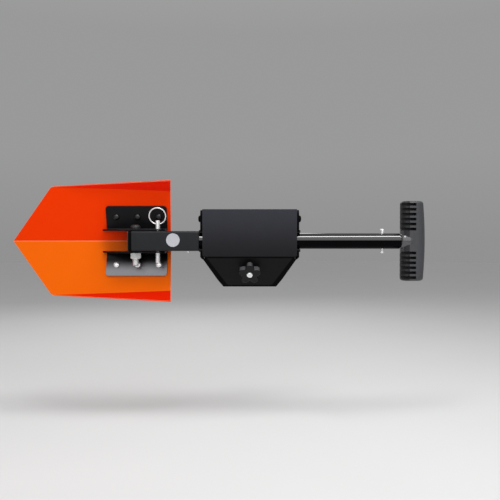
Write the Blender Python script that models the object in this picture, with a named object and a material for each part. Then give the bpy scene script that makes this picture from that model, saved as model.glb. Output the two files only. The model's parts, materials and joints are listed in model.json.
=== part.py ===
"""Collapsible folding shovel stowed in a wall clamp, as separate pieces.

Metres, +Z up.  X runs along the shaft towards the grip, Y runs into the wall, and the origin
is on the wall face of the back bracket, level with the shaft and midway between the cheeks.
"""
import math

import bmesh
import bpy
from mathutils import Matrix, Vector

MM = 0.001
GAP = 0.3 * MM

# Shaft and grip
SHAFT_DEPTH = 46 * MM
SHAFT_RADIUS = 15 * MM
SHAFT_BORE_RADIUS = 13.2 * MM
SHAFT_START = -140 * MM
SHAFT_END = 285 * MM
INNER_RADIUS = 12 * MM
INNER_BORE_RADIUS = 10.6 * MM
INNER_START = -96 * MM
INNER_END = 321 * MM
BUSH_LENGTH = 18 * MM
SNAP_BUTTON_X = 253 * MM
SNAP_BUTTON_RADIUS = 3.75 * MM
SNAP_BUTTON_TIP = 23.5 * MM
SNAP_SPRING_LENGTH = 55 * MM
BUTTON_FOOT = 0.8 * MM
BUTTON_FOOT_RIM = 0.7 * MM
GRIP_LENGTH = 151 * MM
GRIP_FINGER_SIDE = 287.5 * MM
GRIP_PALM_SIDE = 333 * MM
GRIP_PALM_CROWN = 3.5 * MM
GRIP_DEPTH = 35 * MM
GRIP_END_ROUND = 5 * MM
GRIP_SLOTS = 6
GRIP_SLOT_WIDTH = 3.6 * MM
GRIP_SLOT_PITCH = 9.28 * MM
GRIP_FIRST_SLOT = 22.5 * MM
GRIP_SLOT_END = 313 * MM
GRIP_WEB = 8 * MM
GRIP_STEP_X = 300.8 * MM
GRIP_STEP_DEPTH = 2.7 * MM
GRIP_SQUARENESS = 0.8
GRIP_PIN_INSET = 9 * MM
GRIP_PIN_RADIUS = 2.5 * MM
GRIP_PIN_HEAD = 4.4 * MM
COLLAR_RADIUS = 18 * MM
COLLAR_ROUND = 3 * MM
COLLAR_LENGTH = 20 * MM

# Hinge at the blade end
TUBE_SIZE = 38 * MM
TUBE_WALL = 2.5 * MM
TUBE_CORNER = 4 * MM
TUBE_START = -228 * MM
TUBE_END = -96 * MM
PIVOT_X = -218 * MM
PIVOT_RADIUS = 5.9 * MM
PIVOT_HOLE_RADIUS = 6.3 * MM
PIVOT_NUT_FLATS = 19 * MM
PIVOT_BOLT_BOTTOM = -47 * MM
PIVOT_HEAD_RADIUS = 9.5 * MM
PIVOT_HEAD_RISE = 7.5 * MM
PIVOT_WASHER_RADIUS = 11 * MM
PIVOT_WASHER_SHEET = 1.5 * MM
PIVOT_NUT_HEIGHT = 12 * MM
PIVOT_SPACER_RADIUS = 7.8 * MM
PIN_X = -174 * MM
PIN_DEPTH = 55 * MM
PIN_RADIUS = 4.1 * MM
PIN_TOP = 39 * MM
PIN_BOTTOM = -42 * MM
PIN_SLOT_END = 36
PIN_EYE_Z = 32 * MM
PIN_EYE_RADIUS = 2.3 * MM
RING_RADIUS = 16.1 * MM
RING_WIRE_RADIUS = 1.4 * MM
RING_LEAN = math.radians(15)
DISC_X = -144 * MM
DISC_RADIUS = 12.7 * MM
DISC_RISE = 1.5 * MM
DISC_THICKNESS = 1.3 * MM
SOCKET_BUTTON_X = -118 * MM
SOCKET_BUTTON_RADIUS = 3 * MM
SOCKET_BUTTON_TIP = 22 * MM
SOCKET_SPRING_BEND = 8 * MM
LEAF_THICKNESS = 0.8 * MM
LEAF_WIDTH = 7 * MM
LEAF_OVERHANG = 7 * MM

# Blade
CREASE_DEPTH = 12 * MM
BLADE_THICKNESS = 2.5 * MM
BLADE_TILT = math.radians(14)
FLANGE_TILT = math.radians(50)
BLADE_TIP_X = -466 * MM
BLADE_SHOULDER_X = -382 * MM
BLADE_REAR_X = -155 * MM
BLADE_FOLD_REAR_X = -152.5 * MM
BLADE_FLANGE_REAR_X = -149.5 * MM
BLADE_SHOULDER_HALF = 104 * MM
BLADE_SHOULDER_ROUND = 9 * MM
BLADE_FOLD_HALF = 96 * MM
BLADE_REAR_HALF = 113.8 * MM

# Hinge brackets
BRACKET_THICKNESS = 3 * MM
BRACKET_INNER = 19.5 * MM
BRACKET_WIDTH = 68 * MM
BRACKET_START = -279 * MM
BRACKET_TOE = -286 * MM
BRACKET_END = -160.6 * MM
BRACKET_FRONT = -62 * MM
BRACKET_EDGE = 0.8 * MM
BRACKET_BEND = 5 * MM
BRACKET_CORNER = 6 * MM
BRACKET_SLOPE_END = -246 * MM
BRACKET_SLOPE_BACK = -26 * MM
BRACKET_NOSE = 10 * MM
BRACKET_BOLT_Z = 47 * MM
BRACKET_BOLT_PITCH = 41 * MM
BRACKET_BOLT_RADIUS = 2.95 * MM
BRACKET_BOLT_HOLE = 3.3 * MM
BRACKET_BOLT_HEAD = 5.8 * MM
BRACKET_BOLT_RISE = 4 * MM
BRACKET_BOLT_TAIL = 6.5 * MM
BRACKET_NUT_FLATS = 10 * MM
BRACKET_NUT_HEIGHT = 5 * MM

# Wall clamp
CLAMP_HALF = 93 * MM
CLAMP_SHEET = 3 * MM
CLAMP_TOP = 59 * MM
CLAMP_BOTTOM = -89 * MM
CHEEK_FRONT = -64 * MM
CHEEK_LOW = -34 * MM
CLAMP_FOOT_HALF = 51 * MM
CHEEK_ROOT = -0.6 * MM
CHEEK_STEP = 12 * MM
SEAT_START = 4.5 * MM
NOTCH_RADIUS = 18.4 * MM
LINER_LENGTH = 8 * MM
LINER_LIP = 2.2 * MM
LINER_MOUTH = 3.5 * MM
WALL_HOLE_RADIUS = 4.25 * MM
WALL_HOLE_X = 70 * MM
WALL_HOLE_Z = (42 * MM, -26 * MM)
COVER_HALF = 88.7 * MM
COVER_SHEET = 2 * MM
COVER_FRONT = -67.5 * MM
COVER_TOP = 59.5 * MM
COVER_BEND = -31 * MM
COVER_CHAMFER = 5 * MM
COVER_BEND_INSET = 4 * MM
EAR_LOW = 27 * MM
EAR_HIGH = 57 * MM
EAR_REACH = 9 * MM
EAR_ROUND = 8 * MM
TONGUE_TILT = math.radians(32)
TONGUE_LENGTH = 63.7 * MM
TONGUE_END_HALF = 48.5 * MM
TONGUE_ROUND = 6 * MM
PAD_HALF_LENGTH = 62 * MM
PAD_HALF_HEIGHT = 14 * MM
PAD_DEPTH = 9 * MM
COVER_HINGE_Y = -52 * MM
COVER_HINGE_Z = 42 * MM
HINGE_PIN_RADIUS = 3.9 * MM
HINGE_PIN_HEAD = 6.5 * MM
HINGE_PIN_RISE = 4.5 * MM
HINGE_NUT_FLATS = 13 * MM
KNOB_ALONG = 26 * MM
KNOB_RADIUS = 21 * MM
KNOB_LOBES = 5
KNOB_SWING = 0.16
KNOB_BASE = 1.8 * MM
KNOB_FOOT = 5 * MM
KNOB_HEIGHT = 13 * MM
KNOB_EDGE = 2.5 * MM
HUB_RADIUS = 10 * MM
STUD_RADIUS = 3.9 * MM
STUD_HEAD = 6.5 * MM
STUD_TOP = 22.3 * MM
STUD_END = -18 * MM
WELD_NUT_FLANGE = 12 * MM
WELD_NUT_BODY = 7 * MM
WELD_NUT_LENGTH = 9 * MM
SEAT_HOLE_RADIUS = 8.5 * MM

AXIS_POINT = Vector((0, -SHAFT_DEPTH, 0))
PIVOT_POINT = Vector((PIVOT_X, -SHAFT_DEPTH, 0))
PIN_POINT = Vector((PIN_X, -PIN_DEPTH, 0))
ALONG_X = Vector((1, 0, 0))
ALONG_Y = Vector((0, 1, 0))
ALONG_Z = Vector((0, 0, 1))
TONGUE_DOWN = Vector((0, math.sin(TONGUE_TILT), -math.cos(TONGUE_TILT)))
TONGUE_IN = Vector((0, math.cos(TONGUE_TILT), math.sin(TONGUE_TILT)))


def clear_scene():
    """Take away whatever the file holds at the start."""
    for item in list(bpy.data.objects):
        bpy.data.objects.remove(item, do_unlink=True)


def paint(name, colour, roughness, metallic):
    """One plain material for a kind of surface."""
    material = bpy.data.materials.new(name)
    material.use_nodes = True
    shader = material.node_tree.nodes["Principled BSDF"]
    shader.inputs["Base Color"].default_value = (*colour, 1)
    shader.inputs["Roughness"].default_value = roughness
    shader.inputs["Metallic"].default_value = metallic
    return material


def joint(name, place):
    """An empty on a joint's axis, which carries the pieces that move there."""
    empty = bpy.data.objects.new(name, None)
    empty.location = place
    empty.empty_display_size = 10 * MM
    bpy.context.collection.objects.link(empty)
    bpy.context.view_layer.update()
    return empty


def piece(name, shape, material, carrier=None, sharp=35, outwards=True):
    """Turn a bmesh into a named object that rides on its carrier."""
    mesh = bpy.data.meshes.new(name)
    if outwards:
        bmesh.ops.recalc_face_normals(shape, faces=shape.faces)
    shape.to_mesh(mesh)
    shape.free()
    item = bpy.data.objects.new(name, mesh)
    bpy.context.collection.objects.link(item)
    mesh.materials.append(material)
    if carrier:
        item.parent = carrier
        item.matrix_parent_inverse = carrier.matrix_world.inverted()
    shade(item, sharp)
    return item


def shade(item, sharp=35):
    """Smooth shading that breaks at edges sharper than the angle given in degrees."""
    item.data.shade_smooth()
    item.data.set_sharp_from_angle(angle=math.radians(sharp))


def settle(item):
    """Replace an object's mesh with what its modifiers make of it."""
    bpy.context.view_layer.update()
    graph = bpy.context.evaluated_depsgraph_get()
    result = bpy.data.meshes.new_from_object(item.evaluated_get(graph))
    item.modifiers.clear()
    item.data = result
    shade(item)


def combine(item, tool_shape, operation="DIFFERENCE"):
    """Cut a shape out of an object, or add it."""
    mesh = bpy.data.meshes.new("tool")
    bmesh.ops.recalc_face_normals(tool_shape, faces=tool_shape.faces)
    tool_shape.to_mesh(mesh)
    tool_shape.free()
    tool = bpy.data.objects.new("tool", mesh)
    bpy.context.collection.objects.link(tool)
    modifier = item.modifiers.new("combine", "BOOLEAN")
    modifier.operation = operation
    modifier.solver = "EXACT"
    modifier.object = tool
    settle(item)
    bpy.data.objects.remove(tool, do_unlink=True)


def sheet(name, shape, thickness, material, carrier):
    """Turn open faces into a named sheet with its thickness behind them."""
    item = piece(name, shape, material, carrier, outwards=False)
    modifier = item.modifiers.new("sheet", "SOLIDIFY")
    modifier.solidify_mode = "NON_MANIFOLD"
    modifier.nonmanifold_thickness_mode = "CONSTRAINTS"
    modifier.thickness = thickness
    modifier.offset = -1
    settle(item)
    return item


def soften(item, width, segments=2, angle=40):
    """Round the edges that are sharper than an angle in degrees."""
    modifier = item.modifiers.new("round", "BEVEL")
    modifier.width = width
    modifier.segments = segments
    modifier.limit_method = "ANGLE"
    modifier.angle_limit = math.radians(angle)
    settle(item)


def arc(centre, radius, start, end, steps):
    """Points on an arc, from one angle in degrees to another."""
    points = []
    for step in range(steps + 1):
        angle = math.radians(start + (end - start) * step / steps)
        points.append((centre[0] + radius * math.cos(angle), centre[1] + radius * math.sin(angle)))
    return points


def rounded(corners, radii, steps=4):
    """An outline whose corners are rounded, each with its own radius."""
    points = []
    count = len(corners)
    for index, corner in enumerate(corners):
        here = Vector(corner)
        radius = radii[index] if isinstance(radii, (list, tuple)) else radii
        if radius == 0:
            points.append(tuple(here))
            continue
        back = (Vector(corners[index - 1]) - here).normalized()
        ahead = (Vector(corners[(index + 1) % count]) - here).normalized()
        half = back.angle(ahead) / 2
        centre = here + (back + ahead).normalized() * (radius / math.sin(half))
        start = here + back * (radius / math.tan(half)) - centre
        end = here + ahead * (radius / math.tan(half)) - centre
        turn = start.angle_signed(end)
        for step in range(steps + 1):
            points.append(tuple(centre + Matrix.Rotation(-turn * step / steps, 2) @ start))
    return points


def rectangle(low, high, radius=0, steps=4):
    """A rectangle outline between two corners."""
    corners = [(low[0], low[1]), (high[0], low[1]), (high[0], high[1]), (low[0], high[1])]
    return rounded(corners, radius, steps)


def prism(outline, to_space, sweep):
    """Sweep a flat outline along a vector into a closed solid."""
    shape = bmesh.new()
    face = shape.faces.new([shape.verts.new(to_space(*point)) for point in outline])
    swept = bmesh.ops.extrude_face_region(shape, geom=[face])
    moved = [item for item in swept["geom"] if isinstance(item, bmesh.types.BMVert)]
    bmesh.ops.translate(shape, verts=moved, vec=sweep)
    bmesh.ops.recalc_face_normals(shape, faces=shape.faces)
    return shape


def prism_x(outline, start, end):
    """Sweep an outline of (y, z) points along X."""
    return prism(outline, lambda y, z: Vector((start, y, z)), ALONG_X * (end - start))


def prism_y(outline, start, end):
    """Sweep an outline of (x, z) points along Y."""
    return prism(outline, lambda x, z: Vector((x, start, z)), ALONG_Y * (end - start))


def prism_z(outline, start, end):
    """Sweep an outline of (x, y) points along Z."""
    return prism(outline, lambda x, y: Vector((x, y, start)), ALONG_Z * (end - start))


def turned(profile, origin, axis, steps=20, ring=False):
    """Turn a profile of (distance along the axis, radius) points about an axis."""
    axis = Vector(axis).normalized()
    side = axis.orthogonal().normalized()
    shape = bmesh.new()
    verts = [shape.verts.new(origin + axis * along + side * radius) for along, radius in profile]
    ends = verts[1:] + ([verts[0]] if ring else [])
    edges = [shape.edges.new(pair) for pair in zip(verts, ends)]
    bmesh.ops.spin(shape, geom=verts + edges, cent=origin, axis=axis, angle=math.tau,
                   steps=steps, use_merge=True)
    bmesh.ops.remove_doubles(shape, verts=shape.verts, dist=0.001 * MM)
    bmesh.ops.recalc_face_normals(shape, faces=shape.faces)
    return shape


def rod(origin, axis, start, end, radius, steps=20):
    """A plain round bar along an axis."""
    return turned([(start, 0), (start, radius), (end, radius), (end, 0)], origin, axis, steps)


def sleeve(origin, axis, start, end, outer, inner, steps=20):
    """A round tube along an axis."""
    profile = [(start, inner), (start, outer), (end, outer), (end, inner)]
    return turned(profile, origin, axis, steps, ring=True)


def hexagon_nut(name, origin, axis, start, end, flats, bore, material, carrier):
    """A hexagon nut with a plain bore."""
    item = piece(name, rod(origin, axis, start, end, flats / math.sqrt(3), 6), material, carrier)
    combine(item, rod(origin, axis, start - 2 * MM, end + 2 * MM, bore, 14))
    return item


def bolt(name, origin, axis, head, shank, head_radius, radius, material, carrier):
    """A bolt with a low domed head: the head's and the shank's stretches lie along the axis."""
    crown = (head[1] - head[0]) * 0.45
    profile = [(head[1], 0), (head[1], head_radius * 0.55), (head[1] - crown, head_radius * 0.92),
               (head[1] - 1.6 * crown, head_radius), (head[0], head_radius), (head[0], radius),
               (shank, radius), (shank, 0)]
    return piece(name, turned(profile, origin, axis, 16), material, carrier)


def blade_surface(x, half, side):
    """A point on the front of a blade half, by its distance from the crease."""
    return Vector((x, -CREASE_DEPTH - half * math.tan(BLADE_TILT), side * half))


def blade_normal(side):
    """The direction from a blade half towards the viewer."""
    return Vector((0, -math.cos(BLADE_TILT), -side * math.sin(BLADE_TILT)))


def bracket_bolt_places():
    """Where the six bracket bolts pass through the front of the blade."""
    places = []
    for side in (1, -1):
        for step in (-1, 0, 1):
            x = PIVOT_X + step * BRACKET_BOLT_PITCH
            places.append((side, blade_surface(x, BRACKET_BOLT_Z, side)))
    return places


def build_blade(colours, carrier):
    """Folded sheet: two halves that meet in a crease, and two flanges that widen to the rear."""
    shape = bmesh.new()
    tip = shape.verts.new(blade_surface(BLADE_TIP_X, 0, 1))
    crease_rear = shape.verts.new(blade_surface(BLADE_REAR_X, 0, 1))
    flange_rise = (BLADE_REAR_HALF - BLADE_FOLD_HALF) * math.tan(FLANGE_TILT)
    outline = rounded([(BLADE_TIP_X, 0), (BLADE_SHOULDER_X, BLADE_SHOULDER_HALF),
                       (BLADE_FLANGE_REAR_X, BLADE_REAR_HALF)], [0, BLADE_SHOULDER_ROUND, 0])[1:-1]
    for side in (1, -1):
        shoulder = [shape.verts.new(blade_surface(x, half, side)) for x, half in outline]
        fold = blade_surface(BLADE_FOLD_REAR_X, BLADE_FOLD_HALF, side)
        edge = fold + Vector((BLADE_FLANGE_REAR_X - BLADE_FOLD_REAR_X, -flange_rise,
                              side * (BLADE_REAR_HALF - BLADE_FOLD_HALF)))
        fold_rear = shape.verts.new(fold)
        edge_rear = shape.verts.new(edge)
        panel = [tip, *shoulder, fold_rear, crease_rear]
        flange = [shoulder[-1], edge_rear, fold_rear]
        for loop in (panel, flange):
            shape.faces.new(loop if side == 1 else loop[::-1])
    for face in shape.faces:
        face.normal_update()
        if face.normal.y > 0:
            face.normal_flip()
    item = sheet("blade", shape, BLADE_THICKNESS, colours["enamel"], carrier)
    for side, place in bracket_bolt_places():
        combine(item, rod(place, blade_normal(side), -8 * MM, 8 * MM, BRACKET_BOLT_HOLE, 16))


def build_bracket(name, side, colours, carrier):
    """Angle plate: one leg lies on a blade half, the other stands beside the hinge tube."""
    lean = math.tan(BLADE_TILT)
    back = GAP / math.cos(BLADE_TILT)
    front = back + BRACKET_THICKNESS / math.cos(BLADE_TILT)
    outer = BRACKET_INNER + BRACKET_THICKNESS

    def flat(half, rise):
        return (-CREASE_DEPTH - half * lean - rise, half)

    corners = [(BRACKET_FRONT, BRACKET_INNER), (BRACKET_FRONT, outer), flat(outer, front),
               flat(BRACKET_WIDTH, front), flat(BRACKET_WIDTH, back), flat(BRACKET_INNER, back)]
    radii = [BRACKET_EDGE, BRACKET_EDGE, BRACKET_BEND - BRACKET_THICKNESS, BRACKET_EDGE, BRACKET_EDGE,
             BRACKET_BEND]
    section = [(y, side * z) for y, z in rounded(corners, radii)]
    item = piece(name, prism_x(section, BRACKET_TOE, BRACKET_END), colours["black"], carrier)
    step = outer + 0.6 * MM
    inside = BRACKET_INNER - 5 * MM
    top = BRACKET_WIDTH - 0.2 * MM
    end = BRACKET_END - 0.2 * MM
    profile = rounded([(BRACKET_TOE - 5 * MM, inside), (BRACKET_TOE - 5 * MM, step), (BRACKET_START, step),
                       (BRACKET_START, top), (end, top), (end, inside)],
                      [0, 0, 0, BRACKET_CORNER, BRACKET_CORNER, 0])
    combine(item, prism_y([(x, side * z) for x, z in profile], 2 * BRACKET_FRONT, 0), "INTERSECT")
    ahead = BRACKET_FRONT - 1 * MM
    slope = [(BRACKET_TOE - 5 * MM, BRACKET_SLOPE_BACK), (BRACKET_TOE, BRACKET_SLOPE_BACK),
             (BRACKET_SLOPE_END, ahead), (BRACKET_SLOPE_END, 2 * ahead), (BRACKET_TOE - 5 * MM, 2 * ahead)]
    legs = sorted((side * (BRACKET_INNER - 2 * MM), side * (outer + 0.4 * MM)))
    combine(item, prism_z(slope, *legs))
    nose_x = BRACKET_END + 1 * MM
    nose = [(nose_x - BRACKET_NOSE, ahead), (nose_x, ahead + BRACKET_NOSE), (nose_x + BRACKET_NOSE, ahead)]
    combine(item, prism_z(nose, *legs))
    for place, radius in ((PIVOT_POINT, PIVOT_HOLE_RADIUS), (PIN_POINT, PIN_RADIUS + GAP)):
        combine(item, rod(place, ALONG_Z, *legs, radius))
    for bolt_side, place in bracket_bolt_places():
        if bolt_side == side:
            combine(item, rod(place, blade_normal(side), -2 * MM, 9 * MM, BRACKET_BOLT_HOLE, 16))


def build_bracket_bolts(colours, carrier):
    """Domed bolts through the brackets, with nuts behind the blade."""
    head_seat = BRACKET_THICKNESS + 2 * GAP
    nut_seat = -BLADE_THICKNESS - GAP
    for index, (side, place) in enumerate(bracket_bolt_places(), start=1):
        axis = blade_normal(side)
        bolt(f"bracket_bolt_{index}", place, axis, (head_seat, head_seat + BRACKET_BOLT_RISE),
             nut_seat - BRACKET_BOLT_TAIL, BRACKET_BOLT_HEAD, BRACKET_BOLT_RADIUS, colours["zinc"], carrier)
        hexagon_nut(f"bracket_nut_{index}", place, axis, nut_seat - BRACKET_NUT_HEIGHT, nut_seat,
                    BRACKET_NUT_FLATS, BRACKET_BOLT_HOLE, colours["zinc"], carrier)


def build_pivot(colours, carrier):
    """Pivot bolt with its washer and lock nut."""
    leg = BRACKET_INNER + BRACKET_THICKNESS
    washer_top = leg + GAP + PIVOT_WASHER_SHEET
    washer = sleeve(PIVOT_POINT, ALONG_Z, leg + GAP, washer_top, PIVOT_WASHER_RADIUS, PIVOT_HOLE_RADIUS)
    piece("pivot_washer", washer, colours["black"], carrier)
    bolt("pivot_bolt", PIVOT_POINT, ALONG_Z, (washer_top + GAP, washer_top + PIVOT_HEAD_RISE),
         PIVOT_BOLT_BOTTOM, PIVOT_HEAD_RADIUS, PIVOT_RADIUS, colours["zinc"], carrier)
    hexagon_nut("pivot_nut", PIVOT_POINT, ALONG_Z, -leg - PIVOT_NUT_HEIGHT, -leg - GAP, PIVOT_NUT_FLATS,
                PIVOT_HOLE_RADIUS, colours["zinc"], carrier)


def build_lock_pin(colours, pin_joint, ring_joint):
    """Lock pin with an eye, and the pull ring, which leans out so that it clears the upper flange."""
    profile = [(PIN_BOTTOM, 0), (PIN_BOTTOM, PIN_RADIUS - 1.2 * MM), (PIN_BOTTOM + 1.8 * MM, PIN_RADIUS),
               (PIN_TOP - 1.2 * MM, PIN_RADIUS), (PIN_TOP, PIN_RADIUS - 1 * MM), (PIN_TOP, 0)]
    item = piece("lock_pin", turned(profile, PIN_POINT, ALONG_Z), colours["zinc"], pin_joint)
    eye = PIN_POINT + ALONG_Z * PIN_EYE_Z
    combine(item, rod(eye, ALONG_X, -8 * MM, 8 * MM, PIN_EYE_RADIUS, 16))
    up = Vector((0, -math.sin(RING_LEAN), math.cos(RING_LEAN)))
    normal = Vector((0, -math.cos(RING_LEAN), -math.sin(RING_LEAN)))
    centre = eye + up * RING_RADIUS
    profile = [(along, RING_RADIUS + out) for along, out in arc((0, 0), RING_WIRE_RADIUS, 0, 315, 7)]
    piece("pull_ring", turned(profile, centre, normal, 26, ring=True), colours["zinc"], ring_joint)


def pin_slot_outline():
    """The path that the lock pin clears through the hinge tube as the blade folds."""
    offset = PIN_POINT - PIVOT_POINT
    reach = offset.length
    begin = math.degrees(math.atan2(offset.y, offset.x))
    slot = PIN_RADIUS + 2 * GAP
    path = arc((PIN_POINT.x, PIN_POINT.y), slot, begin - 180, begin, 8)
    path += arc((PIVOT_POINT.x, PIVOT_POINT.y), reach + slot, begin, PIN_SLOT_END, 8)[1:]
    path += arc((PIVOT_POINT.x, PIVOT_POINT.y), reach - slot, PIN_SLOT_END, begin, 8)[:-1]
    return path


def build_hinge_tube(colours):
    """Square tube that carries the pivot and the lock pin, with its plug, disc and spacer."""
    half = TUBE_SIZE / 2
    low = (-SHAFT_DEPTH - half, -half)
    high = (-SHAFT_DEPTH + half, half)
    item = piece("hinge_tube", prism_x(rectangle(low, high, TUBE_CORNER), TUBE_START, TUBE_END),
                 colours["satin"])
    inner = half - TUBE_WALL
    inner_low = (-SHAFT_DEPTH - inner, -inner)
    inner_high = (-SHAFT_DEPTH + inner, inner)
    bore = rectangle(inner_low, inner_high, TUBE_CORNER - TUBE_WALL)
    combine(item, prism_x(bore, TUBE_START - 5 * MM, TUBE_END + 5 * MM))
    combine(item, rod(PIVOT_POINT, ALONG_Z, -half - 2 * MM, half + 2 * MM, PIVOT_HOLE_RADIUS))
    combine(item, prism_z(pin_slot_outline(), -half - 2 * MM, half + 2 * MM))
    button = Vector((SOCKET_BUTTON_X, -SHAFT_DEPTH, 0))
    combine(item, rod(button, -ALONG_Z, 10 * MM, half + 2 * MM, SOCKET_BUTTON_RADIUS + GAP, 16))

    plug = rectangle((low[0] + 0.4 * MM, low[1] + 0.4 * MM), (high[0] - 0.4 * MM, high[1] - 0.4 * MM),
                     TUBE_CORNER)
    insert = rectangle((inner_low[0] + GAP, inner_low[1] + GAP), (inner_high[0] - GAP, inner_high[1] - GAP),
                       1 * MM)
    cap = piece("tube_end_plug", prism_x(plug, TUBE_START - 2 * MM, TUBE_START - GAP), colours["plastic"])
    combine(cap, prism_x(insert, TUBE_START - 1 * MM, TUBE_START + 1.6 * MM), "UNION")

    spacer_end = inner - GAP
    spacer = sleeve(PIVOT_POINT, ALONG_Z, -spacer_end, spacer_end, PIVOT_SPACER_RADIUS, PIVOT_HOLE_RADIUS)
    piece("pivot_spacer", spacer, colours["zinc"])
    disc = Vector((DISC_X, low[0], DISC_RISE))
    profile = [(GAP, 0), (GAP, DISC_RADIUS), (DISC_THICKNESS - 0.4 * MM, DISC_RADIUS),
               (DISC_THICKNESS, DISC_RADIUS - 0.5 * MM), (DISC_THICKNESS, 0)]
    piece("blank_disc", turned(profile, disc, -ALONG_Y, 24), colours["disc"])

    bush_half = inner - GAP
    bush_outline = rectangle((-SHAFT_DEPTH - bush_half, -bush_half), (-SHAFT_DEPTH + bush_half, bush_half),
                             1.2 * MM)
    bush = piece("socket_bush", prism_x(bush_outline, SHAFT_START - 2 * MM, TUBE_END - GAP),
                 colours["plastic"])
    combine(bush, rod(AXIS_POINT, ALONG_X, SHAFT_START - 9 * MM, TUBE_END + 9 * MM, SHAFT_RADIUS + GAP, 32))
    combine(bush, rod(button, -ALONG_Z, 10 * MM, half + 2 * MM, SOCKET_BUTTON_RADIUS + GAP, 16))


def foot_level(bore, radius):
    """How far from the axis a button's foot sits, so that its rim stays inside a round bore."""
    rim = radius + BUTTON_FOOT_RIM
    return math.sqrt((bore - 0.1 * MM) ** 2 - rim ** 2) - GAP - BUTTON_FOOT


def button_shape(origin, axis, base, tip, radius):
    """A snap button: a thin foot inside its tube, a shank and a domed end."""
    foot = base + BUTTON_FOOT
    rim = radius + BUTTON_FOOT_RIM
    profile = [(base, 0), (base, rim), (foot, rim), (foot, radius),
               (tip - radius * 0.8, radius), (tip - radius * 0.35, radius * 0.86),
               (tip - radius * 0.1, radius * 0.5), (tip, 0)]
    return turned(profile, origin, axis, 20)


def leaf_shape(bend_x, end_x, bend_half, arm_half):
    """A hairpin leaf spring: two arms that spread from a round bend, swept across the tube."""
    outer = [(end_x, arm_half), *arc((bend_x, 0), bend_half, 90, 270, 8), (end_x, -arm_half)]
    inner = [(end_x, -arm_half + LEAF_THICKNESS), *arc((bend_x, 0), bend_half - LEAF_THICKNESS, 270, 90, 8),
             (end_x, arm_half - LEAF_THICKNESS)]
    return prism_y(outer + inner, -SHAFT_DEPTH - LEAF_WIDTH / 2, -SHAFT_DEPTH + LEAF_WIDTH / 2)


def build_shaft(colours, handle, button_joints, socket_joint):
    """Outer and inner shaft tubes with their bushes, snap buttons and leaf springs."""
    outer = piece("outer_shaft", sleeve(AXIS_POINT, ALONG_X, SHAFT_START, SHAFT_END, SHAFT_RADIUS,
                                        SHAFT_BORE_RADIUS, 32), colours["gloss"])
    snap = Vector((SNAP_BUTTON_X, -SHAFT_DEPTH, 0))
    hole = SNAP_BUTTON_RADIUS + GAP
    combine(outer, rod(snap, ALONG_Z, -20 * MM, 20 * MM, hole, 20))
    socket = Vector((SOCKET_BUTTON_X, -SHAFT_DEPTH, 0))
    combine(outer, rod(socket, -ALONG_Z, 5 * MM, 20 * MM, SOCKET_BUTTON_RADIUS + GAP, 20))
    bush_outer = SHAFT_BORE_RADIUS - GAP
    bush_inner = INNER_RADIUS + GAP
    piece("guide_bush", sleeve(AXIS_POINT, ALONG_X, SHAFT_END - BUSH_LENGTH - 2 * MM, SHAFT_END - 2 * MM,
                               bush_outer, bush_inner, 24), colours["plastic"])

    inner = piece("inner_shaft", sleeve(AXIS_POINT, ALONG_X, INNER_START, INNER_END, INNER_RADIUS,
                                        INNER_BORE_RADIUS, 32), colours["gloss"], handle)
    combine(inner, rod(snap, ALONG_Z, -20 * MM, 20 * MM, hole, 20))
    piece("slide_bush", sleeve(AXIS_POINT, ALONG_X, INNER_START + 1 * MM, INNER_START + BUSH_LENGTH,
                               bush_outer, bush_inner, 24), colours["plastic"], handle)

    foot = foot_level(INNER_BORE_RADIUS, SNAP_BUTTON_RADIUS)
    for name, side in (("snap_button_top", 1), ("snap_button_bottom", -1)):
        piece(name, button_shape(snap, ALONG_Z * side, foot, SNAP_BUTTON_TIP, SNAP_BUTTON_RADIUS),
              colours["zinc"], button_joints[side])
    snap_leaf = leaf_shape(SNAP_BUTTON_X - SNAP_SPRING_LENGTH, SNAP_BUTTON_X + LEAF_OVERHANG, 5 * MM,
                           foot - GAP)
    piece("snap_spring", snap_leaf, colours["zinc"], handle)

    socket_foot = foot_level(SHAFT_BORE_RADIUS, SOCKET_BUTTON_RADIUS)
    socket_shape = button_shape(socket, -ALONG_Z, socket_foot, SOCKET_BUTTON_TIP, SOCKET_BUTTON_RADIUS)
    piece("socket_button", socket_shape, colours["zinc"], socket_joint)
    socket_leaf = leaf_shape(SHAFT_START + SOCKET_SPRING_BEND, SOCKET_BUTTON_X + LEAF_OVERHANG, 7 * MM,
                             socket_foot - GAP)
    piece("socket_spring", socket_leaf, colours["zinc"])


def grip_section(z, steps=24):
    """The grip's outline at a height: a rounded oval that narrows towards its ends."""
    reach = abs(z) / (GRIP_LENGTH / 2)
    palm = GRIP_PALM_SIDE - GRIP_PALM_CROWN * reach ** 2
    into_end = max(0, abs(z) - (GRIP_LENGTH / 2 - GRIP_END_ROUND))
    shrink = GRIP_END_ROUND - math.sqrt(max(0, GRIP_END_ROUND ** 2 - into_end ** 2))
    half_x = (palm - GRIP_FINGER_SIDE) / 2 - shrink
    half_y = GRIP_DEPTH / 2 - shrink
    middle = (palm + GRIP_FINGER_SIDE) / 2
    points = []
    for step in range(steps):
        angle = math.tau * step / steps
        c, s = math.cos(angle), math.sin(angle)
        x = middle + half_x * math.copysign(abs(c) ** GRIP_SQUARENESS, c)
        y = -SHAFT_DEPTH + half_y * math.copysign(abs(s) ** GRIP_SQUARENESS, s)
        points.append(Vector((x, y, z)))
    return points


def grip_side(start, end, near, far, face):
    """A block beside the grip's middle plane, on its wall face or its front face."""
    low, high = sorted((face * near - SHAFT_DEPTH, face * far - SHAFT_DEPTH))
    return rectangle((start, low), (end, high))


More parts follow.
